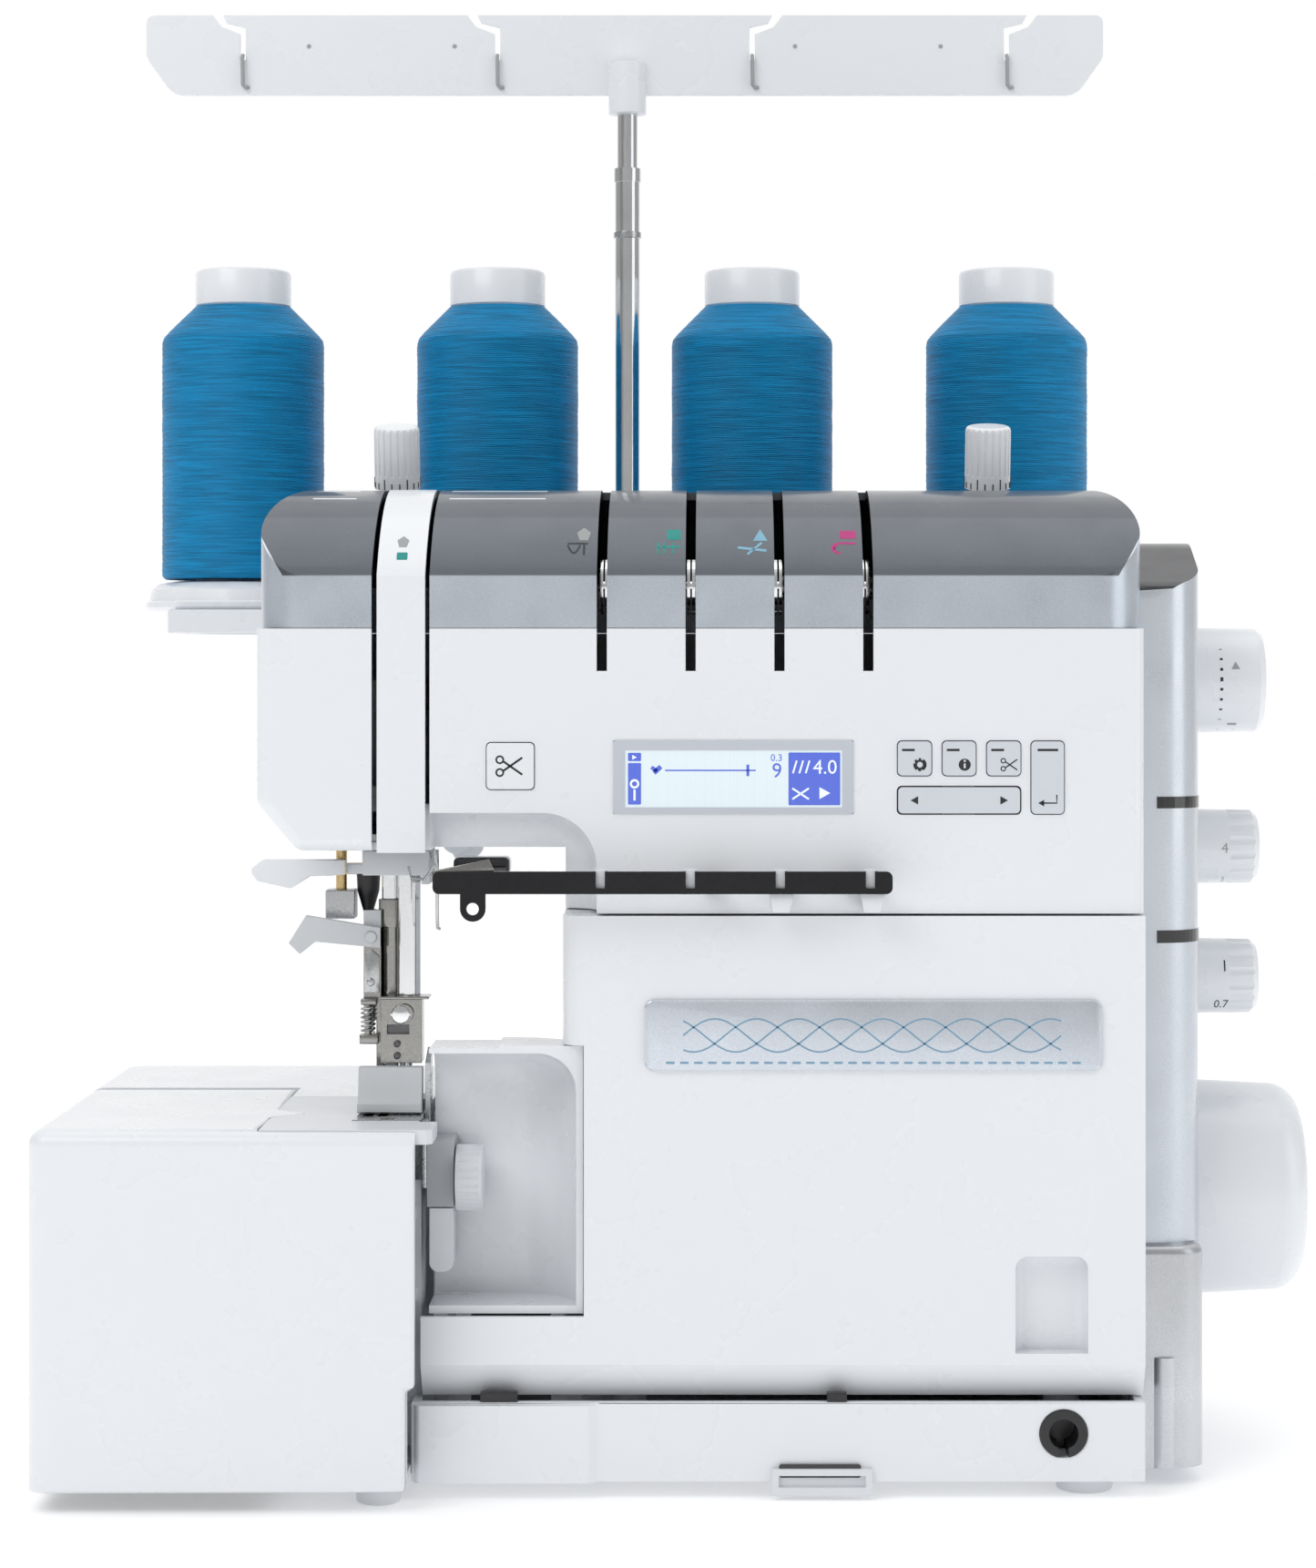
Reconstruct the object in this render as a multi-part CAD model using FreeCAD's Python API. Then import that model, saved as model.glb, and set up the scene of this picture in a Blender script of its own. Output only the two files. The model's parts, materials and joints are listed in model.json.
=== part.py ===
import FreeCAD, Part
import math
import os

# Serger (overlock) sewing machine with four thread spools and a telescopic thread stand.
# Row frame in millimetres: X to the operator's right, Y to the back, Z up.
# The origin is the centre of the bounding box, on the surface that the feet stand on.

Vec = FreeCAD.Vector
X_AXIS = Vec(1, 0, 0)
Y_AXIS = Vec(0, 1, 0)
Z_AXIS = Vec(0, 0, 1)

# ---- driving dimensions -------------------------------------------------------------------
HALF_WIDTH = 204.0            # half of the overall width
HALF_DEPTH = 141.0            # half of the overall depth
STAND_TOP = 503.3             # height of the raised thread stand

WALL = 2.5                    # moulded cover thickness
GAP = 0.3                     # gap between covers and between a cover and a moving part

COLUMN_LEFT = -39.8           # right-hand housing
COLUMN_RIGHT = 142.6
BODY_FRONT = -121.0
BODY_REAR = 58.0
BASE_LEFT = -87.0
BASE_BOTTOM = 5.4
BASE_TOP = 30.4
COMPARTMENT_WALL_Y = -97.5    # wall behind the opening looper cover

HEAD_LEFT = -135.7            # sewing head
HEAD_FRONT = -119.5
HEAD_SPLIT_Y = -60.0          # joint between front and rear shells
HEAD_BOTTOM = 202.5
HEAD_TOP = 272.2
HEAD_CORNER = (-122.9, 217.6) # X at the bottom and Z at the side of the lower left chamfer
COLUMN_FRONT_BOTTOM = 183.0   # lower edge of the head cover above the looper cover

BAND_TOP = 288.7              # top cover
RIDGE_Y = -61.0
RIDGE_TOP = 318.0
TOP_CORNER = 15.0

SLOT_FIRST_X = -27.4          # thread slots
SLOT_PITCH = 27.8
SLOT_WIDTH = 3.2
SLOT_BOTTOM = 258.9
SLOT_COUNT = 4

STRIP_LEFT = -97.8            # cover strip over the thread take-up
STRIP_RIGHT = -82.7
CHANNEL_LEFT = -99.5
CHANNEL_RIGHT = -81.3

SIDE_INNER = 143.2            # right-hand side cover
SIDE_OUTER = 164.1
SIDE_FRONT = -96.0
SIDE_TOP = 301.0
SIDE_CORNER = 15.0

BED_TOP = 117.7               # cloth plate box and bed
BED_BOTTOM = 6.4
BED_LEFT = -203.9
BED_RIGHT = -84.2
BED_REAR = 47.0
PLATE_REAR = -27.3
PLATE_FRONT = -HALF_DEPTH
PLATE_HINGE = (-198.0, -33.0)
PLATE_HINGE_RADIUS = 5.9
INSET_LEFT = -132.6           # fixed plate around the needle plate
INSET_REAR = -51.2
LUG_LEVELS = ((12.0, 18.7), (99.3, 106.0))

NEEDLE_BAR = (-90.5, -85.0)
NEEDLE_BAR_RADIUS = 3.65
PRESSER_BAR = (-96.5, -77.5)
PRESSER_BAR_RADIUS = 3.5
FOOT_PIVOT = (-78.0, 130.4)   # Y and Z of the pin that the presser foot tilts on
FIT = 0.05                    # radial running clearance

SHAFT_Y = -31.0               # main shaft
SHAFT_Z = 85.3
SHAFT_RADIUS = 6.0
SHAFT_END = 190.0
HANDWHEEL_RADIUS = 36.0
PULLEY_RADIUS = 29.5
PULLEY_LEFT = 100.0
MOTOR_Y = 20.0
MOTOR_Z = 150.0
MOTOR_PULLEY_RADIUS = 8.5

COVER_AXIS = (-113.5, 41.5)   # Y and Z of the looper cover's hinge rod
COVER_TOP = 182.3
COVER_BOTTOM = 31.0
COVER_STEP_X = -33.0          # edge beside the scoop guard
COVER_STEP_TOP = 57.0
GUARD_TOP = 141.4
ROD_RADIUS = 1.6

TOP_DIALS = {"pressure_dial": -98.6, "tension_release_dial": 99.5}   # X of each dial
TOP_DIAL_FOOT = (-34.5, 317.4)                                       # Y and Z of their feet
TOP_DIAL_LEAN = 12.0          # degrees forward
TOP_DIAL_RADIUS = 7.6
WIDTH_DIAL = (-105.0, 98.5)   # Y and Z of the cutting width dial's axis
WIDTH_DIAL_RADIUS = 10.4
LOWER_LOOPER = (-60.0, 72.0)  # X and Z of the looper pivots
UPPER_LOOPER = (-56.0, 90.0)
LOOPER_PIN_RADIUS = 2.5
FEED_BARS = ((-103.0, -100.8, -106.0, -66.0), (-98.4, -96.2, -106.0, -66.0),
             (-88.0, -86.4, -100.0, -72.0))   # X and Y limits of each feed bar

SPOOL_Y = 100.0               # thread stand
SPOOL_FIRST_X = -168.0
SPOOL_PITCH = 94.9
SPOOL_COUNT = 4
SEAT_RADIUS = 36.0
SEAT_BOTTOM = 281.0
SPOOL_BOTTOM = 292.3
SPOOL_TOP = 407.8
THREAD_RADIUS = 30.2
THREAD_TOP = 394.2
CORE_RADIUS = 17.7
STAND_X = -24.7
STAND_RADIUS = 6.0
GUIDE_BAR_BOTTOM = 473.4


# ---- shape helpers ------------------------------------------------------------------------
def box(x0, x1, y0, y1, z0, z1):
    return Part.makeBox(x1 - x0, y1 - y0, z1 - z0, Vec(x0, y0, z0))


def rod_x(x0, x1, y, z, radius):
    return Part.makeCylinder(radius, x1 - x0, Vec(x0, y, z), Vec(1, 0, 0))


def rod_y(y0, y1, x, z, radius):
    return Part.makeCylinder(radius, y1 - y0, Vec(x, y0, z), Vec(0, 1, 0))


def rod_z(z0, z1, x, y, radius):
    return Part.makeCylinder(radius, z1 - z0, Vec(x, y, z0), Vec(0, 0, 1))


def tube_x(x0, x1, y, z, outer, inner):
    return rod_x(x0, x1, y, z, outer).cut(rod_x(x0 - 1, x1 + 1, y, z, inner))


def tube_z(z0, z1, x, y, outer, inner):
    return rod_z(z0, z1, x, y, outer).cut(rod_z(z0 - 1, z1 + 1, x, y, inner))


def place(plane, a, b, level):
    """Point with in-plane coordinates a and b on the named plane."""
    if plane == "xz":
        return Vec(a, level, b)
    if plane == "yz":
        return Vec(level, a, b)
    return Vec(a, b, level)


def outline(points, plane, level):
    """Closed wire through (a, b) or (a, b, corner radius) points."""
    count = len(points)
    starts = []
    ends = []
    middles = []
    for i in range(count):
        here = Vec(points[i][0], points[i][1], 0)
        before = Vec(points[i - 1][0], points[i - 1][1], 0)
        after = Vec(points[(i + 1) % count][0], points[(i + 1) % count][1], 0)
        radius = points[i][2] if len(points[i]) > 2 else 0
        back = (before - here).normalize()
        forth = (after - here).normalize()
        half = back.getAngle(forth) / 2
        if radius == 0:
            starts.append(here)
            ends.append(here)
            middles.append(None)
            continue
        reach = radius / math.tan(half)
        bisector = (back + forth).normalize()
        starts.append(here + back * reach)
        ends.append(here + forth * reach)
        middles.append(here + bisector * (radius / math.sin(half) - radius))
    edges = []
    for i in range(count):
        following = (i + 1) % count
        if middles[i] is not None:
            arc = [place(plane, p.x, p.y, level) for p in (starts[i], middles[i], ends[i])]
            edges.append(Part.Arc(*arc).toShape())
        if (starts[following] - ends[i]).Length > 1e-6:
            line = [place(plane, p.x, p.y, level) for p in (ends[i], starts[following])]
            edges.append(Part.LineSegment(*line).toShape())
    return Part.Wire(edges)


def prism(points, plane, low, high):
    """Outline extruded from low to high across its plane."""
    face = Part.Face(outline(points, plane, low))
    along = {"xz": Vec(0, 1, 0), "yz": Vec(1, 0, 0), "xy": Vec(0, 0, 1)}[plane]
    return face.extrude(along * (high - low))


def turned(profile, x, y):
    """Solid of revolution about a vertical axis from (radius, z) or (radius, z, corner) points."""
    wire = outline([(x + point[0],) + tuple(point[1:]) for point in profile], "xz", y)
    return Part.Face(wire).revolve(Vec(x, y, 0), Vec(0, 0, 1), 360)


def turned_x(profile, y, z):
    """Solid of revolution about an axis along X from (x, radius) or (x, radius, corner) points."""
    wire = outline([(point[0], z + point[1]) + tuple(point[2:]) for point in profile], "xz", y)
    return Part.Face(wire).revolve(Vec(0, y, z), Vec(1, 0, 0), 360)


def fuse(*shapes):
    result = shapes[0]
    for shape in shapes[1:]:
        result = result.fuse(shape)
    return result.removeSplitter()


def group(*shapes):
    """Separate solids that share one node."""
    solids = []
    for shape in shapes:
        solids.extend(shape.Solids)
    return Part.makeCompound(solids)


def soften(shape, radius, chosen):
    """Fillet every edge for which chosen(edge's centre, edge) holds."""
    edges = [e for e in shape.Edges if chosen(e.CenterOfMass, e)]
    return shape.makeFillet(radius, edges)


def edge_along(edge, direction):
    if len(edge.Vertexes) < 2:
        return False
    run = edge.Vertexes[1].Point - edge.Vertexes[0].Point
    return abs(abs(run.normalize().dot(direction)) - 1) < 1e-4


def slot_centres():
    return [SLOT_FIRST_X + SLOT_PITCH * i for i in range(SLOT_COUNT)]


def spool_centres():
    return [SPOOL_FIRST_X + SPOOL_PITCH * i for i in range(SPOOL_COUNT)]


def thread_slots(y0, y1, z0, z1):
    half = SLOT_WIDTH / 2
    return fuse(*[box(x - half, x + half, y0, y1, z0, z1) for x in slot_centres()])


# ---- base ---------------------------------------------------------------------------------
def base_tray():
    """Open-topped moulding with a forward bulge at its left end and four frame bosses."""
    left, right = BASE_LEFT, COLUMN_RIGHT
    wall = 3.0
    bulge = prism([(-85.9, BODY_FRONT - 2.2, 2), (-31.5, BODY_FRONT - 2.2, 2),
                   (-27.5, BODY_FRONT + 1), (-85.9, BODY_FRONT + 1)], "xy", BASE_BOTTOM, 29.6)
    shell = box(left, right, BODY_FRONT, BODY_REAR, BASE_BOTTOM, BASE_TOP).fuse(bulge)
    shell = shell.cut(box(left + wall, right - wall, BODY_FRONT + wall, BODY_REAR - wall,
                          BASE_BOTTOM + wall, BASE_TOP + 1))
    for x in (-20.0, 120.0):
        for y in (-80.0, 40.0):
            shell = shell.fuse(rod_z(BASE_BOTTOM + wall, BASE_TOP + 0.2, x, y, 6))
    return shell.cut(rod_y(BODY_FRONT - 1, BODY_FRONT + wall + 1, 117.0, 20.5, 7.5))


def feet():
    front_left = rod_z(0, 8, -96.8, -124.0, 7)
    others = [rod_z(0, BASE_BOTTOM, x, y, 9) for x, y in ((125, -105), (-70, 45), (125, 45))]
    return group(front_left, *others)


def base_fittings():
    """Cover catches, knee lever socket, waste tray hook, rod brackets and plate hinge pin."""
    catches = [box(-65.4, -53.7, BODY_FRONT, -117.2, BASE_TOP, 33.4),
               box(43.0, 49.3, BODY_FRONT, -117.2, BASE_TOP, 33.2)]
    socket = rod_y(BODY_FRONT - 0.6, -106.0, 117.0, 20.5, 7.5)
    socket = socket.cut(rod_y(BODY_FRONT - 1, -108.0, 117.0, 20.5, 4.5))
    socket = socket.cut(box(115.6, 118.4, BODY_FRONT - 1, -108.0, 12.0, 20.5))
    hook = box(25.7, 57.2, BODY_FRONT - 2.5, BODY_FRONT, 1.4, 9.9)
    hook = hook.cut(box(28.0, 55.0, BODY_FRONT - 3, BODY_FRONT - 0.8, 4.2, 7.8))
    brackets = []
    axis_y, axis_z = COVER_AXIS
    for x in (-34.0, 40.0, 78.0):
        arm = box(x, x + 6, axis_y - 2.5, COMPARTMENT_WALL_Y, axis_z + 6, axis_z + 12)
        arm = arm.fuse(box(x, x + 6, axis_y - 2.5, axis_y + 2.5, axis_z, axis_z + 6))
        arm = arm.fuse(rod_x(x, x + 6, axis_y, axis_z, 3.2))
        brackets.append(arm.cut(rod_x(x - 1, x + 7, axis_y, axis_z, ROD_RADIUS + FIT)))
    pin = rod_z(LUG_LEVELS[0][0] + 1, LUG_LEVELS[1][1] - 1, *PLATE_HINGE, 2)
    return group(*catches, socket, hook, *brackets, pin)


# ---- fixed frame and drive inside ---------------------------------------------------------
def main_frame():
    """Cast frame: floor, two shaft plates, arm with needle bar boss, and looper bracket."""
    floor = box(-34, 136, -90, 50, BASE_TOP + 0.2, 36)
    plates = [box(-33, -27, -56, 30, 36, 245), box(118, 124, -56, 40, 36, 245)]
    arm = box(-128, -33, -50, 20, 214, 240)
    web = box(-108, -82, -62, -50, 214, 256)
    bosses = [box(-108, -84.5, -95, -62, 214, 222), box(-108, -84.5, -95, -62, 246, 256)]
    beam = box(-33, 124, -20, 20, 233, 245)
    legs = [box(x, x + 6, -88, 0, 245, 250) for x in (-42, 66)]
    rail = box(-42, 72, -88, -82, 245, 256)
    tie = box(-42, -33, -20, 20, 233, 245)
    motor_mount = box(40, 60, 10, 30, MOTOR_Z + 26, 233)
    frame = fuse(floor, *plates, arm, web, *bosses, beam, *legs, rail, tie, motor_mount)
    for x0, x1 in ((-34, -26), (117, 125)):
        frame = frame.cut(rod_x(x0, x1, SHAFT_Y, SHAFT_Z, 11))
    frame = frame.cut(rod_z(200, 260, *NEEDLE_BAR, NEEDLE_BAR_RADIUS + FIT))
    frame = frame.cut(rod_z(200, 260, *PRESSER_BAR, PRESSER_BAR_RADIUS + FIT))
    bracket = box(-72, -46, -64, -57, BASE_BOTTOM + 3, 112)
    for pivot, y_end in ((LOWER_LOOPER, -89.8), (UPPER_LOOPER, -80.5)):
        bracket = bracket.fuse(rod_y(y_end, -60, *pivot, LOOPER_PIN_RADIUS))
    bracket = bracket.cut(rod_x(-75, -45, SHAFT_Y, SHAFT_Z, 8))
    return group(frame, bracket)


def shaft_bearings():
    return group(*[tube_x(x, x + 6, SHAFT_Y, SHAFT_Z, 11, SHAFT_RADIUS + FIT)
                   for x in (-33.0, 118.0)])


def main_shaft():
    """Shaft with the flanged driven pulley and two balanced looper drive discs."""
    shaft = rod_x(-66, SHAFT_END, SHAFT_Y, SHAFT_Z, SHAFT_RADIUS)
    pulley = turned_x([(PULLEY_LEFT, 5), (PULLEY_LEFT, PULLEY_RADIUS + 2.5),
                       (PULLEY_LEFT + 1.5, PULLEY_RADIUS + 2.5), (PULLEY_LEFT + 1.5, PULLEY_RADIUS),
                       (PULLEY_LEFT + 10.5, PULLEY_RADIUS),
                       (PULLEY_LEFT + 10.5, PULLEY_RADIUS + 2.5),
                       (PULLEY_LEFT + 12, PULLEY_RADIUS + 2.5), (PULLEY_LEFT + 12, 5)],
                      SHAFT_Y, SHAFT_Z)
    discs = [rod_x(x, x + 5, SHAFT_Y, SHAFT_Z, 14) for x in (-22.0, 20.0)]
    return fuse(shaft, pulley, *discs)


def handwheel():
    """Domed wheel with a hub that runs through the side cover."""
    wheel = turned_x([(SIDE_OUTER + 0.5, 0.01), (SIDE_OUTER + 0.5, HANDWHEEL_RADIUS, 2),
                      (HALF_WIDTH, HANDWHEEL_RADIUS - 2, 10), (HALF_WIDTH, 0.01)],
                     SHAFT_Y, SHAFT_Z)
    return wheel.cut(rod_x(SIDE_OUTER, SHAFT_END + FIT, SHAFT_Y, SHAFT_Z, SHAFT_RADIUS + FIT))


def motor():
    body = rod_x(32, 92, MOTOR_Y, MOTOR_Z, 26)
    body = soften(body, 3, lambda c, e: e.BoundBox.XLength < 0.01)
    nose = rod_x(92, 95, MOTOR_Y, MOTOR_Z, 8)
    return fuse(body, nose).cut(rod_x(76, 96, MOTOR_Y, MOTOR_Z, 3 + FIT))


def motor_pulley():
    spindle = rod_x(78, 112, MOTOR_Y, MOTOR_Z, 3)
    rim = MOTOR_PULLEY_RADIUS
    pulley = turned_x([(PULLEY_LEFT, 2), (PULLEY_LEFT, rim + 2), (PULLEY_LEFT + 1.5, rim + 2),
                       (PULLEY_LEFT + 1.5, rim), (PULLEY_LEFT + 10.5, rim),
                       (PULLEY_LEFT + 10.5, rim + 2), (PULLEY_LEFT + 12, rim + 2),
                       (PULLEY_LEFT + 12, 2)], MOTOR_Y, MOTOR_Z)
    return fuse(spindle, pulley)


def belt_solid(offset):
    """Solid bounded by the two pulleys and their outer tangents, grown by offset."""
    big = PULLEY_RADIUS + offset
    small = MOTOR_PULLEY_RADIUS + offset
    low, high = PULLEY_LEFT + 2.2, PULLEY_LEFT + 9.8
    run = Vec(0, MOTOR_Y - SHAFT_Y, MOTOR_Z - SHAFT_Z)
    length = run.Length
    heading = math.atan2(run.z, run.y)
    lean = math.acos((big - small) / length)
    corners = []
    for centre_y, centre_z, radius, side in ((SHAFT_Y, SHAFT_Z, big, 1), (MOTOR_Y, MOTOR_Z, small, 1),
                                             (MOTOR_Y, MOTOR_Z, small, -1), (SHAFT_Y, SHAFT_Z, big, -1)):
        angle = heading + side * lean
        corners.append((centre_y + radius * math.cos(angle), centre_z + radius * math.sin(angle)))
    return fuse(prism(corners, "yz", low, high), rod_x(low, high, SHAFT_Y, SHAFT_Z, big),
                rod_x(low, high, MOTOR_Y, MOTOR_Z, small))


def drive_belt():
    return belt_solid(2.2).cut(belt_solid(0.3))


def circuit_board():
    """Control board behind the display, on standoffs that reach the head cover."""
    board = box(-24, 124, -110, -108.4, 206, 246)
    chips = [box(-12, 30, -108.4, -106, 214, 236), box(60, 74, -108.4, -105.4, 226, 240)]
    posts = [rod_y(HEAD_FRONT + WALL, -110, x, z, 2) for x in (-20, 120) for z in (209, 243)]
    return fuse(board, *chips, *posts)


# ---- housing ------------------------------------------------------------------------------
def head_outline(inset):
    """Head and column front, seen from the front, shrunk by inset."""
    left, right = HEAD_LEFT + inset, COLUMN_RIGHT - inset
    low = HEAD_BOTTOM + inset
    chamfer_x, chamfer_z = HEAD_CORNER
    return [(left, HEAD_TOP + 1), (left, chamfer_z + inset * 0.4, 4),
            (chamfer_x + inset * 0.4, low, 4), (COLUMN_LEFT + inset, low),
            (COLUMN_LEFT + inset, COLUMN_FRONT_BOTTOM + inset),
            (right, COLUMN_FRONT_BOTTOM + inset), (right, HEAD_TOP + 1)]


def niche(grow):
    """Scooped hollow over the sewing space at the head's lower edge."""
    depth = -92.0 + grow
    shape = prism([(-81.6 - grow, 180), (-81.6 - grow, 214.5 + grow), (-29 + grow, 214.5 + grow, 17),
                   (-29 + grow, 180)], "xz", HEAD_FRONT - 4, depth)
    return soften(shape, 14, lambda c, e: abs(c.y - depth) < 0.01 and e.Length > 5
                  and c.z > 181 and c.x > -80)


def button_openings():
    """Width, height and centre of every key opening in the head cover."""
    return {"set_button": (64.9, 76.0, 225.9, 237.2), "info_button": (78.9, 89.9, 225.9, 237.2),
            "auto_button": (92.8, 103.9, 225.9, 237.2), "enter_button": (106.7, 117.5, 213.9, 237.2),
            "arrow_key": (64.9, 103.9, 213.9, 223.0), "cutter_button": (-63.7, -48.3, 221.6, 236.7)}


def head_front_cover():
    outer = prism(head_outline(0), "xz", HEAD_FRONT, HEAD_SPLIT_Y - GAP)
    outer = outer.cut(box(-210, 210, -200, 200, HEAD_TOP, 400))
    outer = soften(outer, 4, lambda c, e: abs(c.y - HEAD_FRONT) < 0.01 and c.z < HEAD_TOP - 1
                   and (c.x < -130 or c.x > 140))
    inner = prism(head_outline(WALL), "xz", HEAD_FRONT + WALL, HEAD_SPLIT_Y + 1)
    shell = outer.cut(niche(0)).cut(inner.cut(niche(WALL)))
    shell = shell.cut(box(CHANNEL_LEFT, CHANNEL_RIGHT, HEAD_FRONT - 1, -112, 200, 275))
    shell = shell.cut(box(-128, -83.5, -105, HEAD_SPLIT_Y + 1, 200, 206))
    shell = shell.cut(thread_slots(HEAD_FRONT - 1, -100, SLOT_BOTTOM, 275))
    shell = shell.cut(box(-23.8, 51.3, HEAD_FRONT - 1, HEAD_FRONT + 1.2, 214.2, 237.2))
    for x0, x1, z0, z1 in button_openings().values():
        opening = prism([(x0, z0, 1.6), (x1, z0, 1.6), (x1, z1, 1.6), (x0, z1, 1.6)], "xz",
                        HEAD_FRONT - 1, HEAD_FRONT + WALL + 1)
        shell = shell.cut(opening)
    return max(shell.Solids, key=lambda s: s.Volume)


def top_solid(inset):
    """Top cover body: rounded in plan, in profile and at both ends, shrunk by inset."""
    front = HEAD_FRONT + inset
    band_top = BAND_TOP - inset * 0.3
    profile_front = Part.Arc(Vec(0, front, band_top), Vec(0, -98.5, 308.2 - inset),
                             Vec(0, RIDGE_Y, RIDGE_TOP - inset)).toShape()
    corners = [Vec(0, RIDGE_Y, RIDGE_TOP - inset), Vec(0, 30, 314.5 - inset),
               Vec(0, BODY_REAR - inset, 296), Vec(0, BODY_REAR - inset, HEAD_TOP - 2),
               Vec(0, front, HEAD_TOP - 2), Vec(0, front, band_top)]
    straight = [Part.LineSegment(a, b).toShape() for a, b in zip(corners, corners[1:])]
    profile = Part.Face(Part.Wire([profile_front] + straight))
    body = profile.extrude(Vec(400, 0, 0))
    body.translate(Vec(-200, 0, 0))
    left, right = HEAD_LEFT + inset, COLUMN_RIGHT - inset
    rear = BODY_REAR - inset
    round_corner = TOP_CORNER - inset
    plan = prism([(left, front, round_corner), (right, front, round_corner), (right, rear, 8),
                  (left, rear, 8)], "xy", HEAD_TOP - 5, 330)
    crest = RIDGE_TOP - inset + 0.5
    ends = prism([(left, HEAD_TOP - 5), (left, crest, round_corner), (right, crest, round_corner),
                  (right, HEAD_TOP - 5)],
                 "xz", -130, 70)
    return body.common(plan).common(ends)


def dial_axis():
    lean = math.radians(TOP_DIAL_LEAN)
    return Vec(0, -math.sin(lean), math.cos(lean))


def top_cover():
    shell = top_solid(0).cut(top_solid(WALL))
    shell = shell.cut(box(-210, 210, -150, 80, 200, HEAD_TOP + 0.2))
    shell = shell.cut(box(CHANNEL_LEFT, CHANNEL_RIGHT, HEAD_FRONT - 1, -70, 270, 330))
    shell = shell.cut(thread_slots(HEAD_FRONT - 1, -56, 270, 330))
    for x in TOP_DIALS.values():
        foot = Vec(x, *TOP_DIAL_FOOT)
        shell = shell.cut(Part.makeCylinder(3.4, 30, foot - dial_axis() * 15, dial_axis()))
    return max(shell.Solids, key=lambda s: s.Volume)


def take_up_cover():
    """Curved strip over the thread take-up, with a rib that reaches the needle bar boss."""
    strip = top_solid(-0.4).cut(top_solid(WALL - 0.4))
    strip = strip.fuse(box(-150, 150, HEAD_FRONT - 0.4, HEAD_FRONT + WALL - 0.4, 202, HEAD_TOP + 1))
    keep = box(STRIP_LEFT, STRIP_RIGHT, HEAD_FRONT - 1, -71, 202, 330)
    strip = max(strip.common(keep).Solids, key=lambda s: s.Volume)
    rib = box(-92, -88.5, HEAD_FRONT + 1, -95, 246.2, 251)
    return fuse(strip, rib)


def rear_cover():
    """Housing of the column and the back of the head, open at the top and bottom."""
    upper = prism(head_outline(0), "xz", HEAD_SPLIT_Y, BODY_REAR)
    upper = upper.cut(box(-210, 210, -200, 200, HEAD_TOP, 400))
    upper_hollow = prism(head_outline(WALL), "xz", HEAD_SPLIT_Y - 1, BODY_REAR - WALL)
    column = box(COLUMN_LEFT, COLUMN_RIGHT, COMPARTMENT_WALL_Y, BODY_REAR, BASE_TOP + 0.3, 182.6)
    column = fuse(column, box(COLUMN_LEFT, COLUMN_RIGHT, HEAD_SPLIT_Y, BODY_REAR, 182, 184))
    hollow = box(COLUMN_LEFT + WALL, COLUMN_RIGHT - WALL, COMPARTMENT_WALL_Y + WALL,
                 BODY_REAR - WALL, 20, 180)
    neck = box(COLUMN_LEFT + WALL, COLUMN_RIGHT - WALL, HEAD_SPLIT_Y + WALL, BODY_REAR - WALL,
               100, 200)
    shell = upper.fuse(column).cut(upper_hollow).cut(hollow).cut(neck)
    shell = shell.cut(rod_x(-45, -30, SHAFT_Y, SHAFT_Z, SHAFT_RADIUS + 3))
    shell = shell.cut(rod_x(138, 145, SHAFT_Y, SHAFT_Z, SHAFT_RADIUS + 3))
    shell = shell.cut(rod_y(BODY_REAR - 5, BODY_REAR + 1, -105, 226, 3.5))
    for x in range(-20, 121, 10):
        shell = shell.cut(box(x, x + 4, BODY_REAR - 4, BODY_REAR + 1, 60, 84))
    shell = soften(shell.removeSplitter(), 6, lambda c, e: edge_along(e, Z_AXIS)
                   and abs(c.y - BODY_REAR) < 0.01 and (c.x > 142 or c.x < -135))
    return shell


def side_solid(inset, inner_x):
    """Right-hand cover body: rounded in plan, sloped at the front of its top."""
    front, rear = SIDE_FRONT + inset, BODY_REAR - inset
    outer_x = SIDE_OUTER - inset
    corner = SIDE_CORNER - inset
    low = BASE_BOTTOM + inset
    plan = prism([(inner_x, front), (outer_x, front, corner), (outer_x, rear, corner),
                  (inner_x, rear)], "xy", low, 320)
    profile = prism([(front, low), (front, 286 - inset, 6), (-60, SIDE_TOP - inset, 30),
                     (rear, SIDE_TOP - inset, 12), (rear, low)], "yz", 100, 200)
    return plan.common(profile)


def dial_specs():
    """Height, radius and outer end of each dial on the side cover."""
    return {"pattern_dial": (255.7, 17.65, 191.6), "length_dial": (199.8, 12.6, 190.1),
            "feed_dial": (156.2, 12.7, 189.8)}


def side_cover():
    shell = side_solid(0, SIDE_INNER)
    skirt = prism([(SIDE_INNER, -101), (SIDE_OUTER, -101, 9), (SIDE_OUTER, -80), (SIDE_INNER, -80)],
                  "xy", BASE_BOTTOM, 76)
    skirt = soften(skirt, 3, lambda c, e: abs(c.z - 76) < 0.01 and c.y < -90)
    pillar = rod_z(BASE_BOTTOM, 40.5, 151, -98, 4.5)
    shell = shell.fuse(skirt).fuse(pillar).cut(side_solid(WALL, SIDE_INNER - 1))
    shell = shell.cut(rod_x(155, 170, SHAFT_Y, SHAFT_Z, SHAFT_RADIUS + 3))
    for z, radius, end in dial_specs().values():
        shell = shell.cut(rod_x(155, 170, SHAFT_Y, z, 3.3))
    shell = shell.cut(box(155, 170, 18, 38, 41.2, 54.8))
    shell = shell.cut(box(155, 170, 16, 40, 14, 32))
    return shell.cut(box(155, 170, -5, 9, 15, 29)).removeSplitter()


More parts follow.
